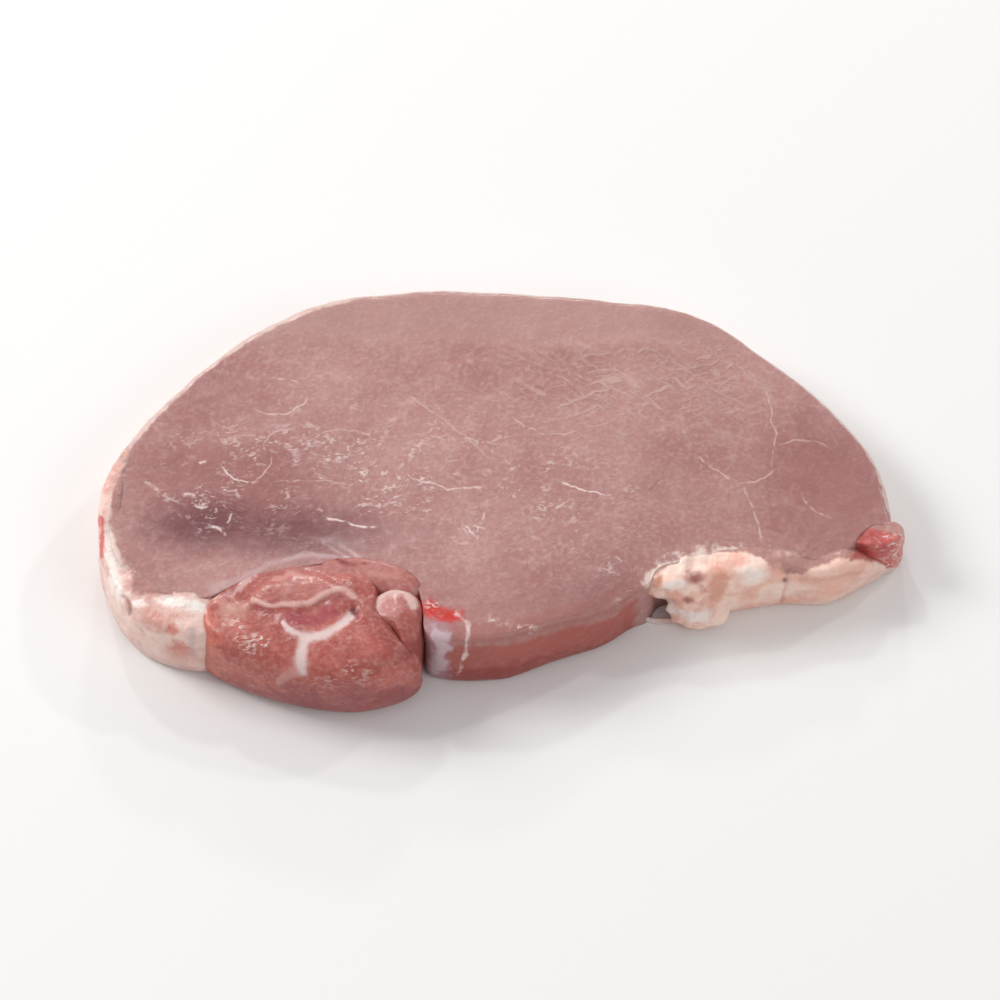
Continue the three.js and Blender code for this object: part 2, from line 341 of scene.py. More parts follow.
def make_piece(name, rows, marks, material, node):
    """A piece from one closed grid, with marks given for each place of the rows."""
    whole = {
        mark: np.concatenate([values.reshape(-1), values[[0, -1]].mean(axis=1)])
        for mark, values in marks.items()
    }
    finish_piece(name, joined_mesh(name, [rows]), whole, material, node)


# Surface of raw muscle: a moist cut through bundles of fibres, so it has a fine grain and faint pale walls
# between the bundles. Its small glints are painted highlights: pale squiggles, dashes and beads laid in the
# colour, with a small bump under them.
# A pattern is its size in mm and the noise that it calls 0 and 1.
CLOUD = (3.2, 0.45, 0.75)
CLOUD_AMOUNT = 0.25
GRAIN = (0.7, 0.42, 0.72)
GRAIN_AMOUNT = 0.34
PITS = (0.5, 0.5, 0.7)
PIT_AMOUNT = 0.4
MOTTLE_RANGE = (0.3, 0.7)
BUNDLE_MM = 4.5
BUNDLE_WALL = 0.1
BUNDLE_GAPS = (6, 0.42, 0.62)
BUNDLE_COLOUR = "#e2c6bf"
KNIFE_FALLING = (0.8, 0.5, 0.68)
KNIFE_RISING = (0.8, 0.54, 0.7)
KNIFE_STRETCH = 9
FILM_LEVEL = (1.2, 0, 1)
FILM_LINE = 0.12
FILM_DASHES = (1.1, 0.46, 0.62)
FILM_BEADS = (0.6, 0.58, 0.7)
FILM_PATCHES = (4, 0.44, 0.62)
# Colour of the painted glints: pale squiggles, dashes and beads that stand for light caught by the moist
# surface.
GLINT_PAINT_COLOUR = "#efd6cf"
ARC_GAPS = (1.1, 0.3, 0.55)
TORN_EDGE = (1.6, 0.25, 0.75)
BEND = (7, 4)
ARC_BEND = (2.5, 1.6)
ARC_FADE = (0.6, 1.05)
GRAIN_HEIGHT = 0.3
CLOUD_HEIGHT = 0.5
FILM_HEIGHT = 1.2
BUMP_MM = 0.25
MUSCLE_BUMP = 0.5
MUSCLE_ROUGHNESS = (0.48, 0.38)
MUSCLE_SHADING = {
    "IOR": 1.39,
    "Coat Weight": 0.3,
    "Coat Roughness": 0.2,
    "Subsurface Weight": 0.3,
    "Subsurface Radius": (1, 0.4, 0.3),
    "Subsurface Scale": 2 * MM,
}


def linear(hex_colour):
    """An sRGB hex colour as linear numbers: each share over 12.92 below 0.04045, and otherwise its
    sum with 0.055, over 1.055, to the power 2.4."""
    shares = [int(hex_colour[k:k + 2], 16) / 255 for k in (1, 3, 5)]
    return tuple(s / 12.92 if s < 0.04045 else ((s + 0.055) / 1.055) ** 2.4 for s in shares) + (1,)


def add_node(tree, kind, inputs=(), **settings):
    """A new shader node with its settings. inputs pairs a socket's name or number with a value, or
    with the output socket that is linked to it."""
    node = tree.nodes.new("ShaderNode" + kind)
    for setting, value in settings.items():
        setattr(node, setting, value)
    for socket, value in dict(inputs).items():
        if isinstance(value, bpy.types.NodeSocket):
            tree.links.new(value, node.inputs[socket])
        else:
            node.inputs[socket].default_value = value
    return node


def product(tree, *factors):
    """The product of several numbers or sockets."""
    total = factors[0]
    for factor in factors[1:]:
        total = add_node(tree, "Math", {0: total, 1: factor}, operation="MULTIPLY").outputs[0]
    return total


def tinted(tree, colour, tint, *amounts):
    """A colour mixed towards a tint by the product of the amounts, which are numbers or sockets."""
    sockets = {0: product(tree, *amounts), 6: colour, 7: linear(tint)}
    return add_node(tree, "Mix", sockets, data_type="RGBA").outputs[2]


def pattern(tree, places, size_mm, low, high, detail=3, stretch=1, turn=0, shift=0):
    """Noise of a real size, spread so that low and below give 0, and high and above give 1. It is
    stretched along X, then turned by degrees round Z."""
    spread = add_node(tree, "Mapping", {
        "Vector": places,
        "Location": (shift * MM, shift * MM, shift * MM),
        "Rotation": (0, 0, math.radians(turn)),
        "Scale": (size_mm * stretch * MM, size_mm * MM, size_mm * MM),
    }, vector_type="TEXTURE")
    noise = add_node(tree, "TexNoise", {"Vector": spread.outputs[0], "Scale": 1.0, "Detail": detail})
    ranged = add_node(tree, "MapRange", {"Value": noise.outputs[0], 1: low, 2: high},
                      interpolation_type="SMOOTHSTEP")
    return ranged.outputs[0]


def wobbled(tree, places, size_mm, move_mm):
    """Places moved by noise of a real size, so that what is drawn on them bends."""
    noise = add_node(tree, "TexNoise", {"Vector": places, "Scale": 1 / (size_mm * MM), "Detail": 2.0})
    centred = add_node(tree, "VectorMath", {0: noise.outputs["Color"], 1: (0.5, 0.5, 0.5)},
                       operation="SUBTRACT")
    move = add_node(tree, "VectorMath", {0: centred.outputs[0], "Scale": move_mm * MM}, operation="SCALE")
    return add_node(tree, "VectorMath", {0: places, 1: move.outputs[0]}, operation="ADD").outputs[0]


def thin_line(tree, distance, width):
    """1 where a distance is 0, falling to 0 at a width, by a smoothstep."""
    return add_node(tree, "MapRange", {"Value": distance, 1: 0.0, 2: width, 3: 1.0, 4: 0.0},
                    interpolation_type="SMOOTHSTEP").outputs[0]


def on_face(point):
    """The place on the cut face, in metres in the frame, that is seen at a point of the shown view."""
    x, seen_up = point
    height = THICKNESS
    for _ in range(3):
        y = (seen_up - height * math.cos(CAMERA_ELEVATION)) / math.sin(CAMERA_ELEVATION)
        height = float(cut_face(np.array([x, y])))
    return (np.array([x, y]) + DRAWN_TO_FRAME[:2]) * MM


def fine_arc(tree, flat, points, width_mm):
    """1 on the circle through three points of the cut face and 0 at a half width from it, fading out
    towards the two outer points."""
    start, middle, end = (on_face(point) for point in points)
    a, b = start - middle, end - middle
    crossed = 2 * (a[0] * b[1] - a[1] * b[0])
    offset = np.array([b[1] * a @ a - a[1] * b @ b, a[0] * b @ b - b[0] * a @ a]) / crossed
    from_centre = add_node(tree, "VectorMath", {0: flat, 1: (*(middle + offset), 0)}, operation="DISTANCE")
    aside = add_node(tree, "Math", {0: from_centre.outputs["Value"], 1: float(np.linalg.norm(offset))},
                     operation="SUBTRACT")
    apart = add_node(tree, "Math", {0: aside.outputs[0]}, operation="ABSOLUTE").outputs[0]
    from_middle = add_node(tree, "VectorMath", {0: flat, 1: (*middle, 0)}, operation="DISTANCE")
    reach = float(max(np.linalg.norm(a), np.linalg.norm(b)))
    ends = {"Value": from_middle.outputs["Value"], 1: reach * ARC_FADE[0], 2: reach * ARC_FADE[1],
            3: 1.0, 4: 0.0}
    fade = add_node(tree, "MapRange", ends, interpolation_type="SMOOTHSTEP").outputs[0]
    return product(tree, thin_line(tree, apart, width_mm / 2 * MM), fade)


def stained(tree, colour, places, stains):
    """A colour with marks of the mesh laid on it in turn, each with its colour, its strength and how
    ragged its edge is. The raggedness times a noise is taken off the mark."""
    torn = pattern(tree, places, *TORN_EDGE, detail=4, shift=3)
    for mark, tint, strength, raggedness in stains:
        amount = add_node(tree, "Attribute", attribute_name=mark).outputs["Fac"]
        lowered = add_node(tree, "Math", {0: torn, 1: -raggedness, 2: amount}, operation="MULTIPLY_ADD")
        shown = add_node(tree, "MapRange", {"Value": lowered.outputs[0], 2: 1 - raggedness / 2},
                         interpolation_type="SMOOTHSTEP")
        colour = tinted(tree, colour, tint, shown.outputs[0], strength)
    return colour


def finish_surface(tree, colour, level, roughness, height, bump_strength, shading):
    """Links the colour, the roughness and the bump to the surface shader and sets its other values. The
    roughness runs from its first number where the level is 0 to its second where the level is 1."""
    surface = tree.nodes["Principled BSDF"]
    rough = add_node(tree, "MapRange", {"Value": level, 3: roughness[0], 4: roughness[1]})
    bump = add_node(tree, "Bump", {"Height": height, "Strength": bump_strength, "Distance": BUMP_MM * MM})
    tree.links.new(colour, surface.inputs["Base Color"])
    tree.links.new(rough.outputs[0], surface.inputs["Roughness"])
    tree.links.new(bump.outputs[0], surface.inputs["Normal"])
    for socket, value in shading.items():
        surface.inputs[socket].default_value = value


def muscle(name, tone, deep, pale, stains, mottle_mm=5, mottled=0.8, bundles=0.06, glint_paint=0.0, knife=0.0,
           arcs=()):
    """Moist raw muscle in two mottled tones, with a paler grain. film is the strength of painted glints,
    pale squiggles, dashes and beads in the colour with a small bump under them, where the mark wet is, and
    knife is the strength of knife marks, where the mark knife is. arcs are fine drawn lines, some of them
    painted glints and painted shade of small creases."""
    material = bpy.data.materials.new(name)
    material.use_nodes = True
    tree = material.node_tree
    places = add_node(tree, "TexCoord").outputs["Object"]
    bent = wobbled(tree, places, *BEND)

    mottle = pattern(tree, places, mottle_mm, *MOTTLE_RANGE, detail=5)
    colour = tinted(tree, linear(tone), deep, mottle, mottled)
    cloud = pattern(tree, places, *CLOUD, detail=4)
    colour = tinted(tree, colour, pale, cloud, CLOUD_AMOUNT)
    grain = pattern(tree, places, *GRAIN)
    colour = tinted(tree, colour, pale, grain, GRAIN_AMOUNT)
    pits = pattern(tree, places, *PITS, detail=2, stretch=1.6, turn=15, shift=8)
    colour = tinted(tree, colour, deep, pits, PIT_AMOUNT)
    cells = add_node(tree, "Mapping", {"Vector": bent, "Scale": (1 / (BUNDLE_MM * MM),) * 3})
    walls = add_node(tree, "TexVoronoi", {"Vector": cells.outputs[0], "Scale": 1.0},
                     feature="DISTANCE_TO_EDGE")
    thin = thin_line(tree, walls.outputs["Distance"], BUNDLE_WALL)
    gaps = pattern(tree, places, *BUNDLE_GAPS, shift=5)
    colour = tinted(tree, colour, BUNDLE_COLOUR, thin, gaps, bundles)
    height = add_node(tree, "Math", {0: grain, 1: GRAIN_HEIGHT, 2: product(tree, cloud, CLOUD_HEIGHT)},
                      operation="MULTIPLY_ADD").outputs[0]

    if knife:
        falling = pattern(tree, bent, *KNIFE_FALLING, stretch=KNIFE_STRETCH, turn=-38)
        rising = pattern(tree, bent, *KNIFE_RISING, stretch=KNIFE_STRETCH, turn=22, shift=4)
        crossing = add_node(tree, "Math", {0: falling, 1: rising}, operation="MAXIMUM").outputs[0]
        amount = add_node(tree, "Attribute", attribute_name="knife").outputs["Fac"]
        strokes = product(tree, crossing, amount)
        colour = tinted(tree, colour, pale, strokes, knife)
        height = add_node(tree, "Math", {0: height, 1: strokes}, operation="ADD").outputs[0]
    colour = stained(tree, colour, bent, stains)
    # Painted highlights: pale glint squiggles, dashes and beads laid in the colour, and raised a little in
    # the bump.
    if glint_paint:
        level = pattern(tree, bent, *FILM_LEVEL, detail=2, stretch=3.4, shift=12)
        offset = add_node(tree, "Math", {0: level, 1: 0.5}, operation="SUBTRACT").outputs[0]
        apart = add_node(tree, "Math", {0: offset}, operation="ABSOLUTE").outputs[0]
        gaps = pattern(tree, places, *FILM_DASHES, detail=1, shift=1)
        dashes = product(tree, thin_line(tree, apart, FILM_LINE), gaps)
        beads = pattern(tree, bent, *FILM_BEADS, detail=1, stretch=1.5, shift=6)
        shapes = add_node(tree, "Math", {0: dashes, 1: beads}, operation="MAXIMUM").outputs[0]
        patches = pattern(tree, places, *FILM_PATCHES, detail=3, shift=21)
        amount = add_node(tree, "Attribute", attribute_name="painted_glints").outputs["Fac"]
        squiggle = product(tree, shapes, patches, amount)
        colour = tinted(tree, colour, GLINT_PAINT_COLOUR, squiggle, glint_paint)
        lifted = {0: squiggle, 1: FILM_HEIGHT, 2: height}
        height = add_node(tree, "Math", lifted, operation="MULTIPLY_ADD").outputs[0]
    if arcs:
        flat = add_node(tree, "VectorMath", {0: wobbled(tree, places, *ARC_BEND), 1: (1, 1, 0)},
                        operation="MULTIPLY").outputs[0]
        gaps = pattern(tree, places, *ARC_GAPS, detail=2, shift=7)
        amount = add_node(tree, "Attribute", attribute_name="face").outputs["Fac"]
        uneven = product(tree, gaps, amount)
        for points, width_mm, tint, strength in arcs:
            arc = fine_arc(tree, flat, points, width_mm)
            colour = tinted(tree, colour, tint, arc, uneven, strength)

    finish_surface(tree, colour, cloud, MUSCLE_ROUGHNESS, height, MUSCLE_BUMP, MUSCLE_SHADING)
    return material


# Eye muscle: the large pale muscle of the loin. It is one knife cut across long fibres, with a thin
# whitish membrane round its far edge and a bare wall at the near edge between the two fats.
EYE_OUTLINE = [
    (57.7, -4.9), (56.2, 4.4), (49.9, 13.6), (40.6, 22.7), (30.5, 29.6), (15, 32.7), (-3, 34),
    (-17, 33.3), (-30, 30.1), (-42.6, 21.8), (-51.6, 11.8), (-57, 2.6), (-57.6, -5.2), (-56, -13.2),
    (-52.5, -18), (-47.6, -19.8), (-43, -20.3), (-36.4, -16.9), (-27.2, -14.3), (-20.8, -13.6),
    (-14.6, -15.4), (-11.7, -19), (-11, -23), (-10.7, -26), (-8.6, -27.5), (-3, -27.6), (2, -26.9),
    (9, -24.4), (16.4, -21.3), (21.8, -17.4), (24, -14.6), (31, -13.2), (36, -12.4), (42, -11.7),
    (48, -12.3), (51.4, -10), (53.4, -7.2), (55.6, -5.8),
]
EYE_CENTRE = (-6, 11)
EYE_AROUND = 620
SEAM_EDGE = 0.3
FREE_EDGE = 2.6
PALE_LINE = "#dfc3bb"
# Painted highlight: pale lines that stand for glints along small ridges of the face.
PAINTED_GLINT_LINE = "#f2dcd6"
# Painted shade: dark lines where small creases cross the face, with no groove under them.
CREASE_SHADE = "#8f6562"
EYE_ARCS = [
    ([(8.6, 6.1), (12.3, 4.9), (16.5, 4.2)], 0.5, PAINTED_GLINT_LINE, 0.9),
    ([(16.5, 4.2), (19.8, 3.5), (22.6, 1.8)], 0.5, CREASE_SHADE, 0.5),
    ([(21.2, 3.7), (24.5, 7.9), (26.9, 12.1)], 0.6, CREASE_SHADE, 0.45),
    ([(29.2, 9.8), (32, 7.7), (35.3, 5.8)], 0.5, PALE_LINE, 0.6),
    ([(34.8, 5.7), (38.1, 6.4), (41, 7.9)], 0.5, PALE_LINE, 0.6),
    ([(36, 5.8), (37.4, 1.4), (38.6, -3.2)], 0.6, PALE_LINE, 0.6),
    ([(39.1, 21.1), (40.5, 14.6), (40.3, 7.6)], 0.5, PALE_LINE, 0.55),
    ([(42, 11.6), (45.2, 12), (49, 11)], 0.5, PALE_LINE, 0.5),
    ([(44.4, 4.6), (46, 2), (48.6, 0.6)], 0.5, PALE_LINE, 0.5),
    ([(-5.4, 0), (-4.2, -1), (-3.2, -2.4)], 0.4, PAINTED_GLINT_LINE, 0.8),
    ([(-3.2, -2.5), (-2.8, -0.5), (-2, 1.6)], 0.4, PAINTED_GLINT_LINE, 0.7),
    ([(-36.4, 17), (-32, 16.2), (-28.2, 18.8)], 0.5, PALE_LINE, 0.8),
    ([(-33, 21.3), (-31.3, 21.2), (-29.6, 20.8)], 0.4, PALE_LINE, 0.6),
    ([(-40.7, 8.1), (-38.7, 6.5), (-35.2, 6)], 0.5, PAINTED_GLINT_LINE, 0.85),
    ([(-33.4, 10), (-34.2, 7.8), (-35.8, 6)], 0.4, PALE_LINE, 0.7),
    ([(-34.4, 11.6), (-33.4, 13.1), (-29.8, 13.5)], 0.4, PALE_LINE, 0.6),
    ([(-27, 13.3), (-23, 13.5), (-19.4, 13.2)], 0.35, PALE_LINE, 0.5),
    ([(-33, 6), (-27, 6.2), (-20.8, 5.7)], 0.4, PALE_LINE, 0.6),
    ([(-52.4, 6.2), (-49.5, 4.2), (-46.1, 2.3)], 0.4, PALE_LINE, 0.6),
    ([(-12, 17.6), (-7.6, 14.4), (-0.6, 9)], 0.4, PALE_LINE, 0.45),
    ([(-12.4, 6.6), (-8, 5.2), (-1, 5.4)], 0.4, PAINTED_GLINT_LINE, 0.6),
    ([(1, 16.4), (6, 13.4), (10.4, 13.2)], 0.4, PALE_LINE, 0.5),
    ([(-46.6, 3.8), (-45.6, 4.3), (-44.6, 4.2)], 0.9, PAINTED_GLINT_LINE, 0.8),
    ([(-44.8, 2.4), (-43.6, 2.2), (-42.6, 3.5)], 0.6, PAINTED_GLINT_LINE, 0.7),
    ([(-42.4, -0.4), (-41.4, -0.8), (-40.4, -1.8)], 0.8, PAINTED_GLINT_LINE, 0.8),
    ([(-39.8, -0.2), (-39.3, 0.5), (-39.1, 1.1)], 0.6, PAINTED_GLINT_LINE, 0.7),
    ([(-44, 8.6), (-43.4, 9), (-42.7, 9.1)], 0.8, PAINTED_GLINT_LINE, 0.8),
    ([(-51.8, 6), (-51, 5.6), (-50, 4.6)], 0.6, PALE_LINE, 0.7),
    ([(-25.6, 1.2), (-24.2, 0.3), (-22.6, 0)], 0.7, PAINTED_GLINT_LINE, 0.8),
    ([(-22.4, 0.1), (-20.2, -0.6), (-18, -0.5)], 0.7, PAINTED_GLINT_LINE, 0.8),
]

FAR_SIDE = (-7, -1)
WALL_LEFT = (-11.5, -8)
WALL_RIGHT = (19, 22)
WALL_BACK = (-17, -15)
FACE_DEPTHS = (0.5, 1.6)
EYE_BUMPS = [(0.34, (14, 12, 14), 1), (0.17, (5.5, 4, 5), 2), (0.07, (2.2, 1.5, 1.9), 3)]
BACK_BUMP = (0.1, 6, 5)
BACK_BELOW = 0.05
RIDGE = ([(2, 26.6), (12, 25.6), (22, 26.6), (30, 24.6), (38, 20)], 3, 3)
RIDGE_HEIGHT = 0.3
RIDGE_START = (2, 12)
KNIFE_CENTRE = (20, 20.5)
KNIFE_REACH = (19, 6.5)
# Where glints are painted on the eye: a band across the middle of the face and a few spots and lines, only
# on its upper part.
GLINT_CENTRE = (-14, 5)
GLINT_REACH = (32, 8)
GLINT_SLOPE = 0.09
GLINT_STRENGTH = 0.85
GLINT_HEIGHTS = (2, 8)
GLINT_PLACES = [
    ((-43, 4), (7, 5)),
    ((17.2, -8), (2.2, 3.4)),
    ((-7.6, -12.6), (2.6, 1)),
    ([(-10.6, -11.6), (-6.4, -13.2), (-1, -14), (5, -15.6)], 1.6, 1.6),
]
# Painted shade: dark purplish blotches laid over the dip above the side muscle.
HOLLOW_SHADE_SPOTS = [(1, (-43, -0.4), (11, 4.6)), (0.9, (-30, -1.6), (17, 4.6))]
DUSKY_SPOTS = [(1, (-40, 6), (17, 10)), (1, (50, 5), (14, 13)), (0.7, (-43, 16), (9, 7))]
LOWER_HALF = (2, 16)
TOP_BAND = (23, 30)
# Painted shade: the rounded near edge is darkened a few millimetres in from the outline.
WALL_EDGE_SHADE = (2, 4)
WALL_RED = (0, 2.6)
# Painted shade: the near wall darkens towards its foot on the floor.
WALL_FOOT_SHADE = (3, 10)
SKIN_DEPTHS = (0.8, 4)
SKIN_PATCHES = [(1, (8, 8, 5), 6), (0.5, (3, 3, 2), 7)]
SKIN_TORN = (-0.1, 0.4)
RIM_WIDTH = 1
RIM_EXTRA = 0.7
RIM_WIDENS = (14, 30)
RIM_FADE = (0.7, 1.3)
EYE_DRAWN = {
    "fat_fade": [([(23, -8), (27, -5.8), (32, -4.9), (36, -4.8), (38.4, -5.4)], 5, 4)],
    "left_fade": [
        ([(-57.9, 6), (-57.9, 0), (-56.6, -3), (-55.2, -6), (-54.6, -9.4)], 1.2, 1.8),
        ([(-54.4, -11.2), (-48, -11.2), (-44.6, -11)], 1.2, 1.2),
    ],
    "seam_skin": [([(-42, -9.6), (-38, -8.8), (-34, -6.4), (-28, -5), (-22, -5.4)], 1.9, 1)],
    "membrane": [([(-9, -15.4), (-9, -18), (-9, -21.6)], 4.6, 4.6)],
    "membrane_speck": [([(-9, -16), (-8.4, -18), (-9, -21)], 3.4, 3.4)],
    "white_line": [([(-6.4, -13), (-4.7, -14.8), (-4.5, -17), (-5.2, -19.4), (-6.1, -22)], 1, 0.7)],
    "blood": [([(-10.8, -12.4), (-8.4, -13), (-5.8, -13.6)], 3.4, 2.4)],
}

eye_outline = closed_curve(EYE_OUTLINE, EYE_AROUND)
outline_x, outline_y = eye_outline.T
far_edge = smoothstep(outline_y, *FAR_SIDE)
near_wall = smoothstep(outline_x, *WALL_LEFT) * (1 - smoothstep(outline_x, *WALL_RIGHT))
near_wall *= 1 - smoothstep(outline_y, *WALL_BACK)
eye_edge = SEAM_EDGE + (FREE_EDGE - SEAM_EDGE) * np.maximum(far_edge, near_wall)
eye_rows = slice_rows(eye_outline, EYE_CENTRE, eye_edge, cut_face, face_rows=84, edge_rows=26)
from_top = cut_face(eye_rows) - eye_rows[..., 2]
face = 1 - smoothstep(from_top, *FACE_DEPTHS)
seen = shown_place(eye_rows)
ridge = near_line(eye_rows, *RIDGE) * smoothstep(seen[..., 0], *RIDGE_START)
relief = bumps(eye_rows, *EYE_BUMPS) + RIDGE_HEIGHT * ridge
relief = np.where(eye_rows[..., 2] < BACK_BELOW, np.abs(bumps(eye_rows, BACK_BUMP)), relief)
eye_places = raised(eye_rows, relief)

from_edge = np.linalg.norm(eye_rows[..., :2] - eye_outline[None], axis=2)
rim_width = RIM_WIDTH + RIM_EXTRA * smoothstep(-outline_x, *RIM_WIDENS)
skin = smoothstep(from_top, *SKIN_DEPTHS) * far_edge
aside = (seen[..., 0] - GLINT_CENTRE[0]) / GLINT_REACH[0]
above = (seen[..., 1] - GLINT_CENTRE[1] + GLINT_SLOPE * seen[..., 0]) / GLINT_REACH[1]
painted_glints = np.maximum(GLINT_STRENGTH * np.exp(-aside ** 4 - above ** 2), strongest(eye_rows, GLINT_PLACES))
eye_marks = drawn(eye_rows, EYE_DRAWN)
eye_marks |= {
    "face": face,
    "knife": np.exp(-(((seen - KNIFE_CENTRE) / KNIFE_REACH) ** 4).sum(axis=-1)) * face,
    "painted_glints": painted_glints * smoothstep(eye_rows[..., 2], *GLINT_HEIGHTS),
    "hollow_shade": blotches(eye_rows, HOLLOW_SHADE_SPOTS) * face,
    "dusky": blotches(eye_rows, DUSKY_SPOTS) * face,
    "lower": smoothstep(-seen[..., 1], *LOWER_HALF) * face,
    "top_band": smoothstep(seen[..., 1], *TOP_BAND),
    "wall_edge_shade": (1 - smoothstep(from_edge, *WALL_EDGE_SHADE)) * near_wall,
    "wall": smoothstep(from_top, *WALL_RED) * near_wall,
    "wall_foot_shade": smoothstep(from_top, *WALL_FOOT_SHADE) * near_wall,
    "far_skin": skin,
    "far_flesh": skin * smoothstep(bumps(eye_rows, *SKIN_PATCHES), *SKIN_TORN),
    "rim": (1 - smoothstep(from_edge / rim_width, *RIM_FADE)) * far_edge,
}
eye_flesh_surface = muscle(
    "moist_pale_pork", "#b68781", "#a5716e", "#cda9a2",
    [
        ("top_band", "#b58d86", 0.6, 0.3),
        ("dusky", "#995f5d", 0.62, 0.3),
        ("lower", "#a36d69", 0.4, 0.3),
        # painted shade over the dip above the side muscle
        ("hollow_shade", "#6c383e", 0.8, 0.15),
        # painted shade on the rounded near edge
        ("wall_edge_shade", "#a8665e", 0.45, 0.4),
        ("wall", "#a94f44", 0.9, 0.5),
        # painted shade towards the foot of the near wall
        ("wall_foot_shade", "#8a342d", 0.7, 0.7),
        ("far_skin", "#d3b0a6", 0.8, 0.1),
        ("far_flesh", "#b3766e", 0.6, 0.5),
        ("rim", "#e6d0c6", 0.65, 0.6),
        ("seam_skin", "#c9aaa9", 0.6, 0.6),
        ("fat_fade", "#ecd3c9", 0.9, 0.8),
        ("left_fade", "#ead0c6", 0.85, 0.6),
        ("membrane", "#b3919a", 0.8, 0.5),
        ("membrane_speck", "#dfd0d5", 0.5, 0.8),
        ("blood", "#cd2f28", 0.94, 0.55),
        ("white_line", "#ecd6d1", 0.75, 0.7),
    ],
    mottle_mm=13,
    mottled=0.9,
    bundles=0.1,
    glint_paint=0.85,
    knife=0.6,
    arcs=EYE_ARCS,
)
make_piece("eye_flesh", eye_places, eye_marks, eye_flesh_surface, "eye_muscle")

# Side muscle: a small darker muscle beside the eye. It bulges out of the cut, because its fibres
# drew back less. A lens of flesh is folded over its back, and white marbling splits it like a Y.
SIDE_OUTLINE = [
    (-42.6, -27.2), (-32.4, -32.4), (-22, -34.2), (-14.6, -32.6), (-11.2, -29.9), (-12.9, -28.4),
    (-15.6, -25), (-17.6, -22), (-17.6, -18.4), (-20.6, -15.2), (-27, -14), (-36.6, -16.6),
    (-43.4, -21.8),
]
SIDE_CENTRE = (-27, -24.2)
SIDE_CROWN = 1.3
SIDE_AROUND = 420
SIDE_REACH = (17, 11)
SIDE_EDGES = (0.9, 5.6)
SIDE_FRONT = (-31, -19)
RELIEF_START = (1, 4)
SIDE_BUMPS = [(0.35, 8, 11), (0.14, 3, 12), (0.05, 1.1, 13)]
LENS_SWELL = (0.4, (-29, -9.6), (5.5, 2.2))
RIGHT_SWELL = (0.8, (-18, -19), (4.6, 5))
WHITE_CURVE = [
    (-35.8, -11.1), (-33.3, -11.9), (-30.1, -11.9), (-27.6, -11.2), (-25.5, -10.1), (-23, -9.4),
    (-21.2, -10.4),
]
UNDER_CURVE = ([(x, v - 1.2) for x, v in WHITE_CURVE], 1.6, 1.6)
UNDER_DEPTH = 0.15
LENS_EDGE = ([(-37, -10.4), (-33.8, -8), (-30, -6.9), (-26.4, -7), (-23.4, -8.2), (-21, -10.2)], 1.4, 1.4)
LENS_EDGE_DEPTH = 0.22
SIDE_RELIEF = {"white_curve": 0.12, "small_hole_shade": -0.5, "marbling": -0.06}
# Places of painted glints on the side muscle.
SIDE_GLINTS = [(1.3, (-35, -16), (5, 3.2)), (0.7, (-22.4, -21.6), (5, 2.4)), (0.6, (-29, -9), (5, 1.6))]
ORANGE_SIDE = (37.5, 43)
BACK_SIDE = (-9, -6)
SIDE_FOOT = (-26.4, -20)
SIDE_DRAWN = {
    "marbling": [
        ([(-21.6, -13.4), (-23.3, -15), (-25.4, -16.3), (-28.2, -16.9)], 1.4, 2),
        ([(-31.5, -14.1), (-30.2, -15.4), (-28.6, -16.7)], 0.7, 1.7),
        ([(-28.1, -16.8), (-28.4, -18.6), (-28.6, -20), (-28.4, -21.6)], 3, 1.7),
    ],
    "white_curve": [(WHITE_CURVE, 0.8, 1.2)],
    "small_hole_shade": [((-21, -12.7), (0.7, 0.9))],
    "pink_run": [([(-28.4, -20), (-29.6, -21.6), (-32, -23)], 3.6, 1.6)],
    "mauve": [([(-30.6, -13.8), (-27.4, -14), (-24.4, -13)], 2.4, 2.4)],
    "lens": [((-29, -9.6), (6, 2))],
    "lens_highlight": [([(-32.6, -8.4), (-30, -7.8), (-27, -8.3)], 1.4, 1)],
    "tan_shoulder": [((-38.8, -12.6), (3.6, 2.2))],
    "deep_bulge": [((-20, -20.5), (5, 4))],
    "seam_skin": [([(-37.8, -9.7), (-35.5, -7.5), (-32.6, -6.2), (-28.3, -5.6), (-24, -6)], 1.1, 0.8)],
    "left_rim": [([(-40.6, -9.8), (-42.2, -11), (-43, -13)], 1.2, 0.9)],
}


def crowned(centre, reach, height):
    """The cut face with a swell: a height times 1 less the square of the distance from the centre,
    counted in reaches, and none past one reach."""
    def top(places):
        far = (((places[..., :2] - np.array(centre)) / np.array(reach)) ** 2).sum(axis=-1)
        return cut_face(places) + height * (1 - np.minimum(far, 1))
    return top


side_outline = closed_curve(SIDE_OUTLINE, SIDE_AROUND)
side_front = 1 - smoothstep(side_outline[:, 1], *SIDE_FRONT)
side_edge = SIDE_EDGES[0] + (SIDE_EDGES[1] - SIDE_EDGES[0]) * side_front
side_rows = slice_rows(side_outline, SIDE_CENTRE, side_edge, crowned(SIDE_CENTRE, SIDE_REACH, SIDE_CROWN),
                       face_rows=64, edge_rows=44, squareness=0.62)
side_seen = shown_place(side_rows)
upper = smoothstep(side_rows[..., 2], *RELIEF_START)
under_curve = near_line(side_rows, *UNDER_CURVE)
lens_edge = near_line(side_rows, *LENS_EDGE)
side_marks = drawn(side_rows, SIDE_DRAWN)
side_marks |= {
    "fold_shade": np.maximum(under_curve, lens_edge),
    "orange_edge": smoothstep(-side_seen[..., 0], *ORANGE_SIDE) * upper,
    "back_pale_sheen": smoothstep(side_seen[..., 1], *BACK_SIDE),
    "foot": 1 - smoothstep(side_seen[..., 1], *SIDE_FOOT),
    "painted_glints": blotches(side_rows, SIDE_GLINTS),
}
relief = bumps(side_rows, *SIDE_BUMPS) - LENS_EDGE_DEPTH * lens_edge - UNDER_DEPTH * under_curve
relief += blotches(side_rows, [LENS_SWELL]) + blotches(side_rows, [RIGHT_SWELL])
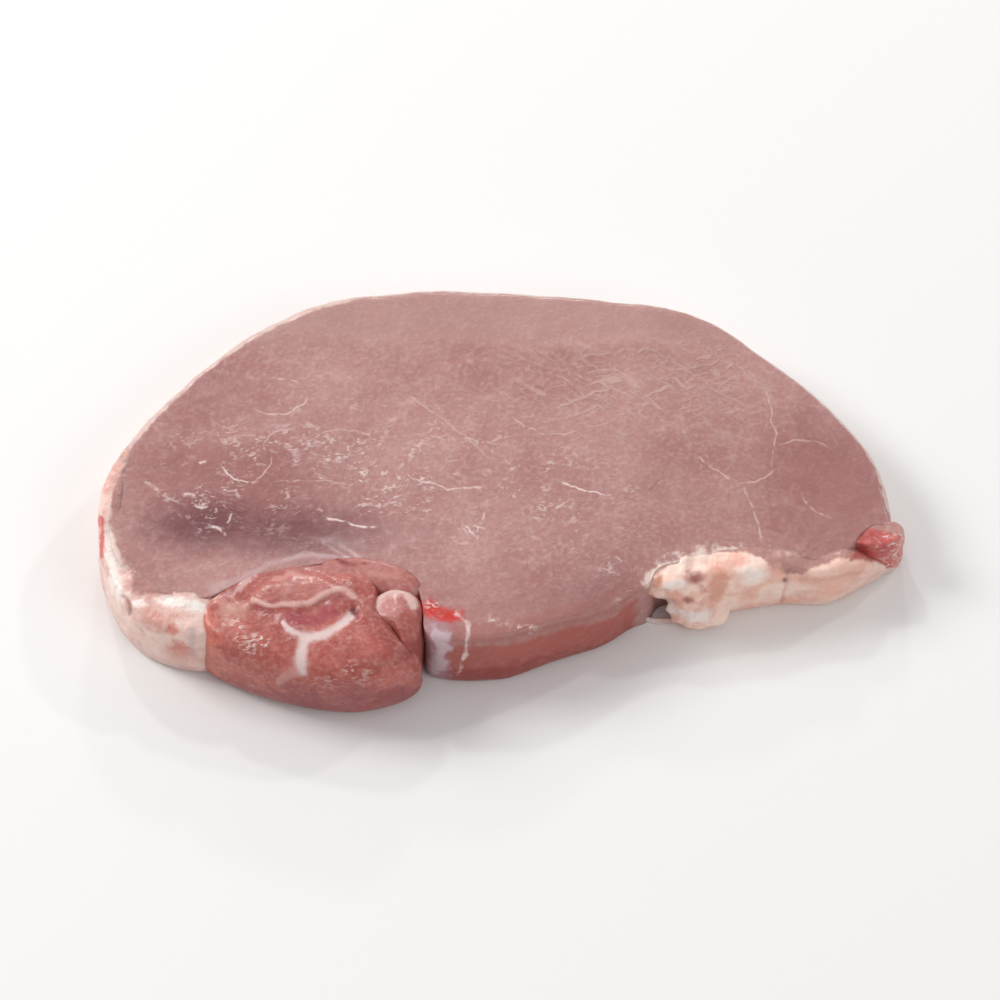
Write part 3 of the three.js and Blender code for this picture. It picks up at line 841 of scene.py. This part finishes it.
relief += sum(height * side_marks[mark] for mark, height in SIDE_RELIEF.items())
side_places = raised(side_rows, relief * upper)
side_flesh_surface = muscle(
    "moist_dark_pork", "#bd6559", "#8f3935", "#d39a90",
    [
        # paler greyish back: partly its own tone and partly painted sheen
        ("back_pale_sheen", "#b8827c", 0.5, 0.4),
        ("orange_edge", "#d07058", 0.6, 0.8),
        ("tan_shoulder", "#c39080", 0.7, 0.5),
        ("deep_bulge", "#a84a42", 0.4, 0.5),
        ("foot", "#883c44", 0.65, 0.6),
        ("lens", "#b98078", 0.5, 0.5),
        ("mauve", "#a03e4a", 0.75, 0.4),
        ("fold_shade", "#8e4a48", 0.2, 0.4),
        # painted highlight: a pale streak along the lens
        ("lens_highlight", "#d59a90", 0.6, 0.7),
        ("pink_run", "#d3a099", 0.5, 0.5),
        ("seam_skin", "#d6bab8", 0.6, 0.7),
        ("white_curve", "#deb5ac", 0.7, 0.3),
        ("left_rim", "#e6cfc8", 0.7, 0.7),
        # painted shade in the small hole
        ("small_hole_shade", "#6d2b2c", 0.8, 0.3),
        ("marbling", "#e4cfcb", 0.85, 0.3),
    ],
    glint_paint=0.8,
)
make_piece("side_flesh", side_places, side_marks, side_flesh_surface, "side_muscle")

# Side lobe: a small lobe at the right end of the side muscle, with a white cap of fat on its top.
LOBE_OUTLINE = [
    (-15.6, -26), (-12.7, -30), (-11, -26), (-11.4, -20.4), (-15.6, -18.4), (-19.4, -20.6),
    (-18.6, -23.6),
]
LOBE_CENTRE = (-14.4, -23)
LOBE_REACH = (4, 7)
LOBE_CROWN = 1.4
LOBE_EDGE = 1.8
LOBE_BUMPS = [(0.2, 4, 21), (0.07, 1.5, 22)]
LOBE_FOOT = (-20, -14)
LOBE_DRAWN = {
    "cap": [([(-18.3, -12.4), (-17.8, -10.8), (-16, -9.8), (-13.6, -10.3), (-12.4, -12)], 2.2, 1.5)],
    "pale_head": [((-16, -12.4), (3, 2))],
    # painted glints on the head of the lobe
    "painted_glints": [((-16, -12.6), (2.6, 2))],
}

lobe_outline = closed_curve(LOBE_OUTLINE, count=170)
lobe_rows = slice_rows(lobe_outline, LOBE_CENTRE, LOBE_EDGE, crowned(LOBE_CENTRE, LOBE_REACH, LOBE_CROWN),
                       face_rows=24, edge_rows=44, squareness=0.6)
upper = smoothstep(lobe_rows[..., 2], *RELIEF_START)
lobe_places = raised(lobe_rows, bumps(lobe_rows, *LOBE_BUMPS) * upper)
lobe_marks = drawn(lobe_rows, LOBE_DRAWN)
lobe_marks["deep_foot"] = 1 - smoothstep(shown_place(lobe_rows)[..., 1], *LOBE_FOOT)
lobe_flesh_surface = muscle(
    "moist_lobe_pork", "#b4635b", "#94433f", "#cf978e",
    [
        ("deep_foot", "#8a3432", 0.7, 0.3),
        ("pale_head", "#c98c84", 0.6, 0.5),
        ("cap", "#e3c4bc", 0.75, 0.5),
    ],
    glint_paint=0.6,
)
make_piece("lobe_flesh", lobe_places, lobe_marks, lobe_flesh_surface, "side_lobe")

# Arched band: a thin strip of muscle that curls over the top of the side muscle and down behind
# the lobe. It is a roll: a rounded section carried along a path.
BAND_PATH = [(-27.4, -14.4), (-20.8, -14.8), (-14.6, -16.8), (-11.2, -20.4)]
BAND_WIDTHS = (1.4, 3.8, 3)
BAND_RISE = 0.6
BAND_INNER = 0.7
BAND_OUTER = 2
BAND_BUMPS = [(0.12, 3, 31), (0.04, 1, 32)]
BAND_DRAWN = {
    "slit_shade": [([(-23.6, -5.5), (-21.6, -5.9), (-19.6, -6.2)], 0.9, 0.5)],
    "pale_top": [([(-19, -7.6), (-14.6, -8), (-11.8, -9.8)], 1.2, 1)],
}


def width_at(widths, share):
    """Width along a roll: the start's, moved by smoothsteps to the middle's at half way and to the
    end's at the end."""
    start, middle, end = widths
    return start + (middle - start) * smoothstep(share, 0, 0.5) + (end - middle) * smoothstep(share, 0.5, 1)


def signed_power(value, power):
    """The power of a number's size, with the number's own sign."""
    return np.sign(value) * np.abs(value) ** power


def roll_rows(path, widths, top, steps, around, squareness=0.6, inner=0.0, outer=0.0, blunt=9):
    """Rows of places along a roll. A section is a superellipse from the ground to the top, and it
    shrinks at both ends by the square root of 1 less a power, blunt, of the distance from the middle.
    inner widens the section on its left side, and outer on its right, under its neighbours."""
    curve = open_curve(path, steps + 2)[1:-1]
    share = np.linspace(0, 1, steps + 2)[1:-1]
    end = np.sqrt(1 - np.abs(2 * share - 1) ** blunt)[:, None]
    angle = 2 * math.pi * np.arange(around) / around
    side = signed_power(np.cos(angle), squareness)[None]
    lift = signed_power(np.sin(angle), squareness)[None]
    half = (width_at(widths, share) / 2)[:, None] * end
    offset = half * side - inner * end * np.maximum(-side, 0) + outer * end * np.maximum(side, 0)
    flat = curve[:, None] + to_the_right(curve)[:, None] * offset[..., None]
    height = top(curve)[:, None] / 2 * (1 + lift * end)
    return np.concatenate([flat, height[..., None]], axis=2)


band_rows = roll_rows(BAND_PATH, BAND_WIDTHS, lambda p: cut_face(p) + BAND_RISE, steps=90, around=80,
                      inner=BAND_INNER, outer=BAND_OUTER)
upper = smoothstep(band_rows[..., 2], *RELIEF_START)
band_places = raised(band_rows, bumps(band_rows, *BAND_BUMPS) * upper)
band_marks = drawn(band_rows, BAND_DRAWN)
band_flesh_surface = muscle(
    "moist_band_pork", "#b6746c", "#a05650", "#cb9a93",
    # The dark red line is painted shade in a narrow gap along the band.
    [("pale_top", "#cb8f86", 0.5, 0.5), ("slit_shade", "#84232a", 0.85, 0.35)],
)
make_piece("arched_band", band_places, band_marks, band_flesh_surface, "seam_band")

# End tip: a scrap of deep red muscle at the pointed end of the slice, pale on top where the cut
# thinned it out, with fat left at its foot.
TIP_CENTRE = (56, -7.4)
TIP_EDGE = 0.9
TIP_BUMPS = [(0.25, 2.6, 41), (0.14, 1, 42)]
LOW_START = (1, 3)
PALE_END = (56, 59)
PALE_TOP = (-1.9, -0.9)
PALE_SLOPE = 0.25
PALE_MIDDLE = 57
WHITE_FOOT = (-6.9, -6.1)
# Painted glints towards the pointed end of the tip.
GLINT_END = (54, 56)

tip_outline = closed_curve(TIP_OUTLINE, count=140)
tip_rows = slice_rows(tip_outline, TIP_CENTRE, TIP_EDGE, cut_face, face_rows=20, edge_rows=34,
                      squareness=0.5)
upper = smoothstep(tip_rows[..., 2], *LOW_START)
tip_places = raised(tip_rows, bumps(tip_rows, *TIP_BUMPS) * upper)
tip_seen = shown_place(tip_rows)
tip_marks = {
    "pale_end": smoothstep(tip_seen[..., 0], *PALE_END),
    "pale_top": smoothstep(tip_seen[..., 1] + PALE_SLOPE * (tip_seen[..., 0] - PALE_MIDDLE), *PALE_TOP),
    "white_foot": 1 - smoothstep(tip_seen[..., 1], *WHITE_FOOT),
    "painted_glints": smoothstep(tip_seen[..., 0], *GLINT_END),
}
tip_flesh_surface = muscle(
    "moist_red_pork", "#c75a54", "#a8443f", "#d98880",
    [
        ("pale_end", "#d48c83", 0.5, 0.7),
        ("pale_top", "#b68781", 0.9, 0.4),
        ("white_foot", "#e6cabd", 0.9, 0.3),
    ],
    mottle_mm=3,
    glint_paint=0.8,
)
make_piece("tip_flesh", tip_places, tip_marks, tip_flesh_surface, "end_tip")

# Fat: soft pork fat is white to pale pink, waxy and only slightly moist. It is lumpy, because it is
# made of small lobes, and light goes a few millimetres into it.
FAT_MOTTLE = (4.5, 0.42, 0.64)
FAT_LOBE_MM = 1.8
FAT_LOBE_EDGES = (0.35, 0.75)
FAT_LOBE_COLOUR = "#d9a79c"
FAT_LOBE_AMOUNT = 0.3
FAT_GRAIN = (0.9, 0.3, 0.7)
FAT_BUMP = 0.45
FAT_ROUGHNESS = (0.5, 0.38)
FAT_SHADING = {
    "IOR": 1.44,
    "Coat Weight": 0.25,
    "Coat Roughness": 0.2,
    "Subsurface Weight": 0.4,
    "Subsurface Radius": (1, 0.55, 0.45),
    "Subsurface Scale": 2.5 * MM,
}


def fat(name, tone, deep, stains):
    """Soft waxy fat with two tones, faint small lobes and marks of the mesh, as in muscle."""
    material = bpy.data.materials.new(name)
    material.use_nodes = True
    tree = material.node_tree
    places = add_node(tree, "TexCoord").outputs["Object"]
    colour = tinted(tree, linear(tone), deep, pattern(tree, places, *FAT_MOTTLE, detail=4))
    cells = add_node(tree, "Mapping", {"Vector": places, "Scale": (1 / (FAT_LOBE_MM * MM),) * 3})
    lobes = add_node(tree, "TexVoronoi", {"Vector": cells.outputs[0], "Scale": 1.0}, feature="SMOOTH_F1")
    edges = {"Value": lobes.outputs["Distance"], 1: FAT_LOBE_EDGES[0], 2: FAT_LOBE_EDGES[1]}
    between = add_node(tree, "MapRange", edges, interpolation_type="SMOOTHSTEP").outputs[0]
    colour = tinted(tree, colour, FAT_LOBE_COLOUR, between, FAT_LOBE_AMOUNT)
    colour = stained(tree, colour, places, stains)
    fine = pattern(tree, places, *FAT_GRAIN, detail=3)
    height = add_node(tree, "Math", {0: between, 1: -1.0, 2: fine}, operation="MULTIPLY_ADD").outputs[0]
    finish_surface(tree, colour, fine, FAT_ROUGHNESS, height, FAT_BUMP, FAT_SHADING)
    return material


# Left fat: the outer fat along the left edge. It is thin at the top and widens towards the side
# muscle, with pink spots where small vessels were cut.
LEFT_FAT_PATH = [
    (-53.2, 8.8), (-56.4, 3.2), (-57.7, -2), (-57.6, -7), (-56.6, -13), (-53.6, -18.8), (-48.6, -22.2),
    (-40, -23.7),
]
LEFT_FAT_WIDTHS = (0.3, 3.1, 7.6)
LEFT_FLESH_EDGE = [
    (-10.6, -54), (-8, -54), (-6.6, -54.4), (-4.6, -55.6), (-2.6, -56.9), (0.5, -57.6), (4.8, -57.3),
    (8, -56), (12, -54.5),
]
LOWER_FLESH_EDGE = -10.6
LEFT_FAT_RISE = 0.1
LEFT_FAT_INNER = 2.1
FLESH_FADE = 0.9
FLESH_HEIGHTS = (8, 9.5)
LEFT_BUMPS = [(0.2, 4, 51), (0.14, 1.8, 52), (0.06, 0.8, 53)]
SLIT_DEPTH = 0.3
RED_MARK = ([(-58.5, 0.8), (-58.4, -1.6), (-58.2, -4.8)], 1.4, 1.2)
RED_HEIGHTS = (5, 9.5)
FOOT_HEIGHTS = (1, 5)
LEFT_DRAWN = {
    "slit_shade": [([(-54.6, -10.8), (-54.2, -12), (-53.9, -13.6)], 1.2, 0.7)],
    "pink": [((-47.3, -15.4), (1.3, 1.1)), ((-46.3, -18.2), (1.8, 2))],
    "blush": [((-50, -14.4), (3.4, 2.6))],
    "grey_patch": [((-44.6, -17.2), (0.9, 2.6))],
    "white_and_highlight": [
        ([(-57.6, -1), (-56.4, -5.3), (-55.2, -10.4)], 1.4, 3.4),
        ([(-53, -11.4), (-48, -11.6), (-42.6, -12.4)], 1.6, 2.4),
    ],
}

left_rows = roll_rows(LEFT_FAT_PATH, LEFT_FAT_WIDTHS, lambda p: cut_face(p) + LEFT_FAT_RISE, steps=230,
                      around=130, squareness=0.42, inner=LEFT_FAT_INNER, blunt=16)
left_height = left_rows[..., 2]
left_marks = drawn(left_rows, LEFT_DRAWN)
relief = bumps(left_rows, *LEFT_BUMPS) - SLIT_DEPTH * left_marks["slit_shade"]
left_places = raised(left_rows, relief * smoothstep(left_height, *LOW_START))
left_seen = shown_place(left_rows)
flesh_edge = np.interp(left_seen[..., 1], *np.transpose(LEFT_FLESH_EDGE))
inside_corner = np.minimum(left_seen[..., 0] - flesh_edge, left_seen[..., 1] - LOWER_FLESH_EDGE)
left_marks |= {
    "flesh": smoothstep(inside_corner, 0, FLESH_FADE) * smoothstep(left_height, *FLESH_HEIGHTS),
    "red_mark": near_line(left_rows, *RED_MARK) * smoothstep(left_height, *RED_HEIGHTS),
    "grey_foot": 1 - smoothstep(left_height, *FOOT_HEIGHTS),
}
left_fat_surface = fat(
    "soft_white_fat", "#eacabf", "#d9a99d",
    [
        ("blush", "#d2958a", 0.6, 0.8),
        # whiter fat with painted highlights along it
        ("white_and_highlight", "#f8eee7", 0.85, 0.5),
        ("grey_patch", "#b9a7ab", 0.6, 0.5),
        ("grey_foot", "#c9a5a0", 0.5, 0.4),
        ("pink", "#cb6a5c", 0.75, 0.6),
        # painted shade in the narrow cut, which is also sunk a little in the relief
        ("slit_shade", "#a9796c", 0.8, 0.5),
        ("red_mark", "#c04640", 0.85, 0.6),
        ("flesh", "#b28079", 0.95, 0.5),
    ],
)
make_piece("left_fat_strip", left_places, left_marks, left_fat_surface, "left_fat")

# Right fat: soft rolls of fat along the near right edge. Its left end was torn off, so it ends in
# ragged lumps beside a small gap. The strip and its lumps are one skin, fused by a voxel remesh.
RIGHT_FAT_PATH = [(21.4, -15.2), (27, -15.6), (31, -14.8), (36, -14), (42, -13.1), (48, -13.4), (53, -11.2),
                  (57.4, -9)]
RIGHT_FAT_WIDTHS = (4.6, 3.8, 1.4)
RIGHT_FAT_RISE = 0.2
RIGHT_FAT_INNER = 2.2
ROLL_HEIGHT = 0.25
ROLL_LENGTH = 2.6
FLESH_EDGE = [
    (21, -7.4), (23, -7.2), (27, -5.6), (31, -5), (35, -4.8), (38, -5.6), (40, -7.3), (42, -8),
    (44.3, -8.2), (46.4, -7.1), (49.8, -5.9), (52, -6), (57, -6.6),
]
END_DROP = 5
END_DROPS = (51, 57.5)
FAT_LUMPS = [
    (26.6, -17.2, 2.6, 1.5), (28.6, -17.4, 2.8, 2.2), (30.2, -18, 1.9, 1.3), (31.6, -16.9, 2.6, 2.3),
    (25.2, -16.7, 3.6, 1), (27.8, -17, 6, 1.7), (24.6, -16.4, 7.4, 1), (26.4, -17.1, 7.9, 1.1),
]
TORN_LIFT = 5.4
TORN_UNTIL = (23.4, 26.4)
VOXEL = 0.3
RAGGED_UNTIL = (29, 33)
FOOT_START = (0.5, 2)
RIGHT_BUMPS = [(0.25, 3.4, 61), (0.12, 1.5, 62)]
RAGGED_BUMPS = [(0.34, 1.5, 62), (0.3, 0.9, 63)]
RIGHT_SWELLS = [(0.3, (37.6, -8.8), (3, 3))]
CREASE_DEPTH = 0.3
RIGHT_FLESH_FADE = 1.2
PINK_FROM = (40, 46)
PINK_AMOUNT = 0.8
SMOOTHING = 0.5
SMOOTH_ROUNDS = 6
BALL_RINGS = 20
BALL_AROUND = 30
RIGHT_CREASES = [
    ([(42.1, -7), (42, -9.2), (41.6, -12)], 0.8, 0.6),
    ([(44, -8.4), (48, -8), (54, -7.4)], 1.2, 0.7),
    ([(27.4, -7), (28.6, -8.2), (30, -10.4)], 1.2, 1.0),
    ([(24, -11.8), (27, -11.4), (29.4, -11.8)], 1.6, 0.9),
]
RIGHT_DRAWN = {
    "tan_patch": [([(31.6, -7.4), (32, -9.4), (31.6, -11)], 4.4, 3)],
    "brown_spot": [((28.4, -7.8), (1.6, 1.2))],
    "red_spot": [((27.7, -11.2), (1, 0.6))],
    "tan_start": [((23.2, -8.6), (0.9, 1.2))],
    "white_and_highlight": [((37, -7.6), (2.6, 1.6))],
    "dark_dot": [((41.8, -8.3), (0.4, 0.4))],
    "white_scrap": [
        ((25.6, -9), (1.7, 1)),
        ([(25.4, -12.8), (28, -13.6), (30.4, -13.6)], 2, 2),
    ],
    "red_wedge": [([(51.4, -5.2), (53, -4.3), (55, -3.9)], 0.6, 2.8)],
}


def roll_top(places):
    """The cut face and a small rise, with 1 and a sine along X for the soft rolls, falling to the
    right end by a smoothstep."""
    x = places[..., 0]
    rolls = ROLL_HEIGHT * (1 + np.sin(x / ROLL_LENGTH))
    return cut_face(places) + RIGHT_FAT_RISE + rolls - END_DROP * smoothstep(x, *END_DROPS)


def ball_rows(centre, radius):
    """Rows of places on a sphere: rings whose radius is the cosine of their latitude."""
    latitude = np.linspace(-math.pi / 2, math.pi / 2, BALL_RINGS)[1:-1, None]
    turn = 2 * math.pi * np.arange(BALL_AROUND)[None] / BALL_AROUND
    flat = np.stack([np.cos(turn) * np.cos(latitude), np.sin(turn) * np.cos(latitude)], axis=-1)
    rise = np.broadcast_to(np.sin(latitude), flat.shape[:2])[..., None]
    return np.array(centre) + radius * np.concatenate([flat, rise], axis=2)


def fused(mesh, voxel):
    """One skin round all the closed forms of a mesh, by Blender's voxel remesh, then smoothed."""
    holder = bpy.data.objects.new("holder", mesh)
    bpy.context.collection.objects.link(holder)
    remesh = holder.modifiers.new("remesh", "REMESH")
    remesh.mode = "VOXEL"
    remesh.voxel_size = voxel * MM
    smooth = holder.modifiers.new("smooth", "SMOOTH")
    smooth.factor = SMOOTHING
    smooth.iterations = SMOOTH_ROUNDS
    skin = bpy.data.meshes.new_from_object(holder.evaluated_get(bpy.context.evaluated_depsgraph_get()))
    bpy.data.objects.remove(holder)
    return skin


def read_mesh(mesh, field):
    """The mesh's vertex places or normals as rows of three numbers."""
    values = np.empty(len(mesh.vertices) * 3)
    mesh.vertices.foreach_get(field, values)
    return values.reshape(-1, 3)


right_core = roll_rows(RIGHT_FAT_PATH, RIGHT_FAT_WIDTHS, roll_top, steps=120, around=60,
                       inner=RIGHT_FAT_INNER)
lifted = TORN_LIFT * (1 - smoothstep(right_core[..., 0], *TORN_UNTIL))
right_core[..., 2] = lifted + right_core[..., 2] * (1 - lifted / roll_top(right_core))
lumps = [ball_rows(lump[:3], lump[3]) for lump in FAT_LUMPS]
right_mesh = fused(joined_mesh("right_fat_rolls", [right_core, *lumps]), VOXEL)
right_places = read_mesh(right_mesh, "co") / MM - DRAWN_TO_FRAME
upper = smoothstep(right_places[:, 2], *FOOT_START)
creases = strongest(right_places, RIGHT_CREASES)
ragged = 1 - smoothstep(right_places[:, 0], *RAGGED_UNTIL)
relief = bumps(right_places, *RIGHT_BUMPS) + ragged * bumps(right_places, *RAGGED_BUMPS)
relief += blotches(right_places, RIGHT_SWELLS) - CREASE_DEPTH * creases
right_places = right_places + read_mesh(right_mesh, "normal") * (relief * upper)[:, None]
right_places[:, 2] = np.maximum(right_places[:, 2], 0)
right_mesh.vertices.foreach_set("co", ((right_places + DRAWN_TO_FRAME) * MM).reshape(-1))
right_seen = shown_place(right_places)
flesh_edge = np.interp(right_seen[:, 0], *np.transpose(FLESH_EDGE))
right_marks = drawn(right_places, RIGHT_DRAWN)
right_marks |= {
    "crease_shade": creases,
    "flesh": smoothstep(right_seen[:, 1] - flesh_edge, 0, RIGHT_FLESH_FADE),
    "pink_run": smoothstep(right_places[:, 0], *PINK_FROM) * PINK_AMOUNT,
}
right_surface = fat(
    "soft_rolled_fat", "#fedccd", "#efb9a6",
    [
        ("pink_run", "#e6b5a6", 0.5, 0.7),
        # painted highlight on the swollen roll, over whiter fat
        ("white_and_highlight", "#faece5", 0.7, 0.4),
        # painted shade along the creases
        ("crease_shade", "#cf9a8c", 0.35, 0.4),
        ("tan_patch", "#dc9c84", 0.75, 0.6),
        ("tan_start", "#cc8a72", 0.8, 0.4),
        ("brown_spot", "#9b5d53", 0.9, 0.3),
        ("red_spot", "#b0625a", 0.8, 0.4),
        ("dark_dot", "#6d3f3c", 0.9, 0.1),
        ("white_scrap", "#f7ebe7", 0.75, 0.6),
        ("flesh", "#b28079", 0.95, 0.6),
        ("red_wedge", "#b85a55", 0.85, 0.08),
    ],
)
finish_piece("right_fat_rolls", right_mesh, right_marks, right_surface, "right_fat")

# Torn thread: a thin strand of membrane under the gap between the bare wall and the torn fat.
THREAD_PATH = [(20.6, -16.6), (22.6, -17.3), (24.6, -17.4), (26.6, -17.2)]
THREAD_WIDTHS = (0.7, 0.5, 0.8)
THREAD_HEIGHT = 1.2
THREAD_BUMP = (0.08, 1, 71)

thread_rows = roll_rows(THREAD_PATH, THREAD_WIDTHS, lambda p: np.full(p.shape[:-1], THREAD_HEIGHT),
                        steps=60, around=20, squareness=0.9)
thread_places = raised(thread_rows, bumps(thread_rows, THREAD_BUMP))
thread_surface = fat("torn_membrane", "#f2e4de", "#dcbab1", [])
make_piece("torn_thread", thread_places, {}, thread_surface, None)

# Studio: a plain pale floor, a large soft light from the back left and small lights round the mirror
# direction of the face, which glint only on the small ridges of the bump under the painted glints.
FLOOR_SIZE = 3
FLOOR_COLOUR = "#efedeb"
FLOOR_ROUGHNESS = 0.9
SKY_COLOUR = "#f7f8fa"
SKY_STRENGTH = 0.52
STEAK_MIDDLE = np.array([0, 0, 0.006])
LIGHTS = [
    ("soft_key", (-0.75, 0.3, 0.6), 0.4, 6),
    ("soft_fill", (0.6, -0.5, 0.7), 0.5, 1.7),
    ("glint_left", (-0.22, 0.62, 0.62), 0.05, 0.9),
    ("glint_right", (0.55, 0.5, 0.6), 0.05, 0.9),
    ("glint_back", (0.02, 0.86, 0.4), 0.06, 0.9),
]

floor_mesh = bpy.data.meshes.new("studio_floor")
half = FLOOR_SIZE / 2
floor_mesh.from_pydata([(-half, -half, 0), (half, -half, 0), (half, half, 0), (-half, half, 0)], [],
                       [(0, 1, 2, 3)])
floor = bpy.data.objects.new("studio_floor", floor_mesh)
bpy.context.collection.objects.link(floor)
paper = bpy.data.materials.new("matt_paper")
paper.use_nodes = True
paper_surface = paper.node_tree.nodes["Principled BSDF"]
paper_surface.inputs["Base Color"].default_value = linear(FLOOR_COLOUR)
paper_surface.inputs["Roughness"].default_value = FLOOR_ROUGHNESS
floor_mesh.materials.append(paper)

for name, place, width, power in LIGHTS:
    lamp = bpy.data.lights.new(name, "AREA")
    lamp.size = width
    lamp.energy = power
    lamp_object = bpy.data.objects.new(name, lamp)
    lamp_object.location = place
    direction = Vector(STEAK_MIDDLE) - Vector(place)
    lamp_object.rotation_euler = direction.to_track_quat("-Z", "Y").to_euler()
    bpy.context.collection.objects.link(lamp_object)

sky = bpy.data.worlds.new("studio_sky")
sky.use_nodes = True
sky.node_tree.nodes["Background"].inputs["Color"].default_value = linear(SKY_COLOUR)
sky.node_tree.nodes["Background"].inputs["Strength"].default_value = SKY_STRENGTH
bpy.context.scene.world = sky
bpy.context.scene.view_settings.view_transform = "Standard"
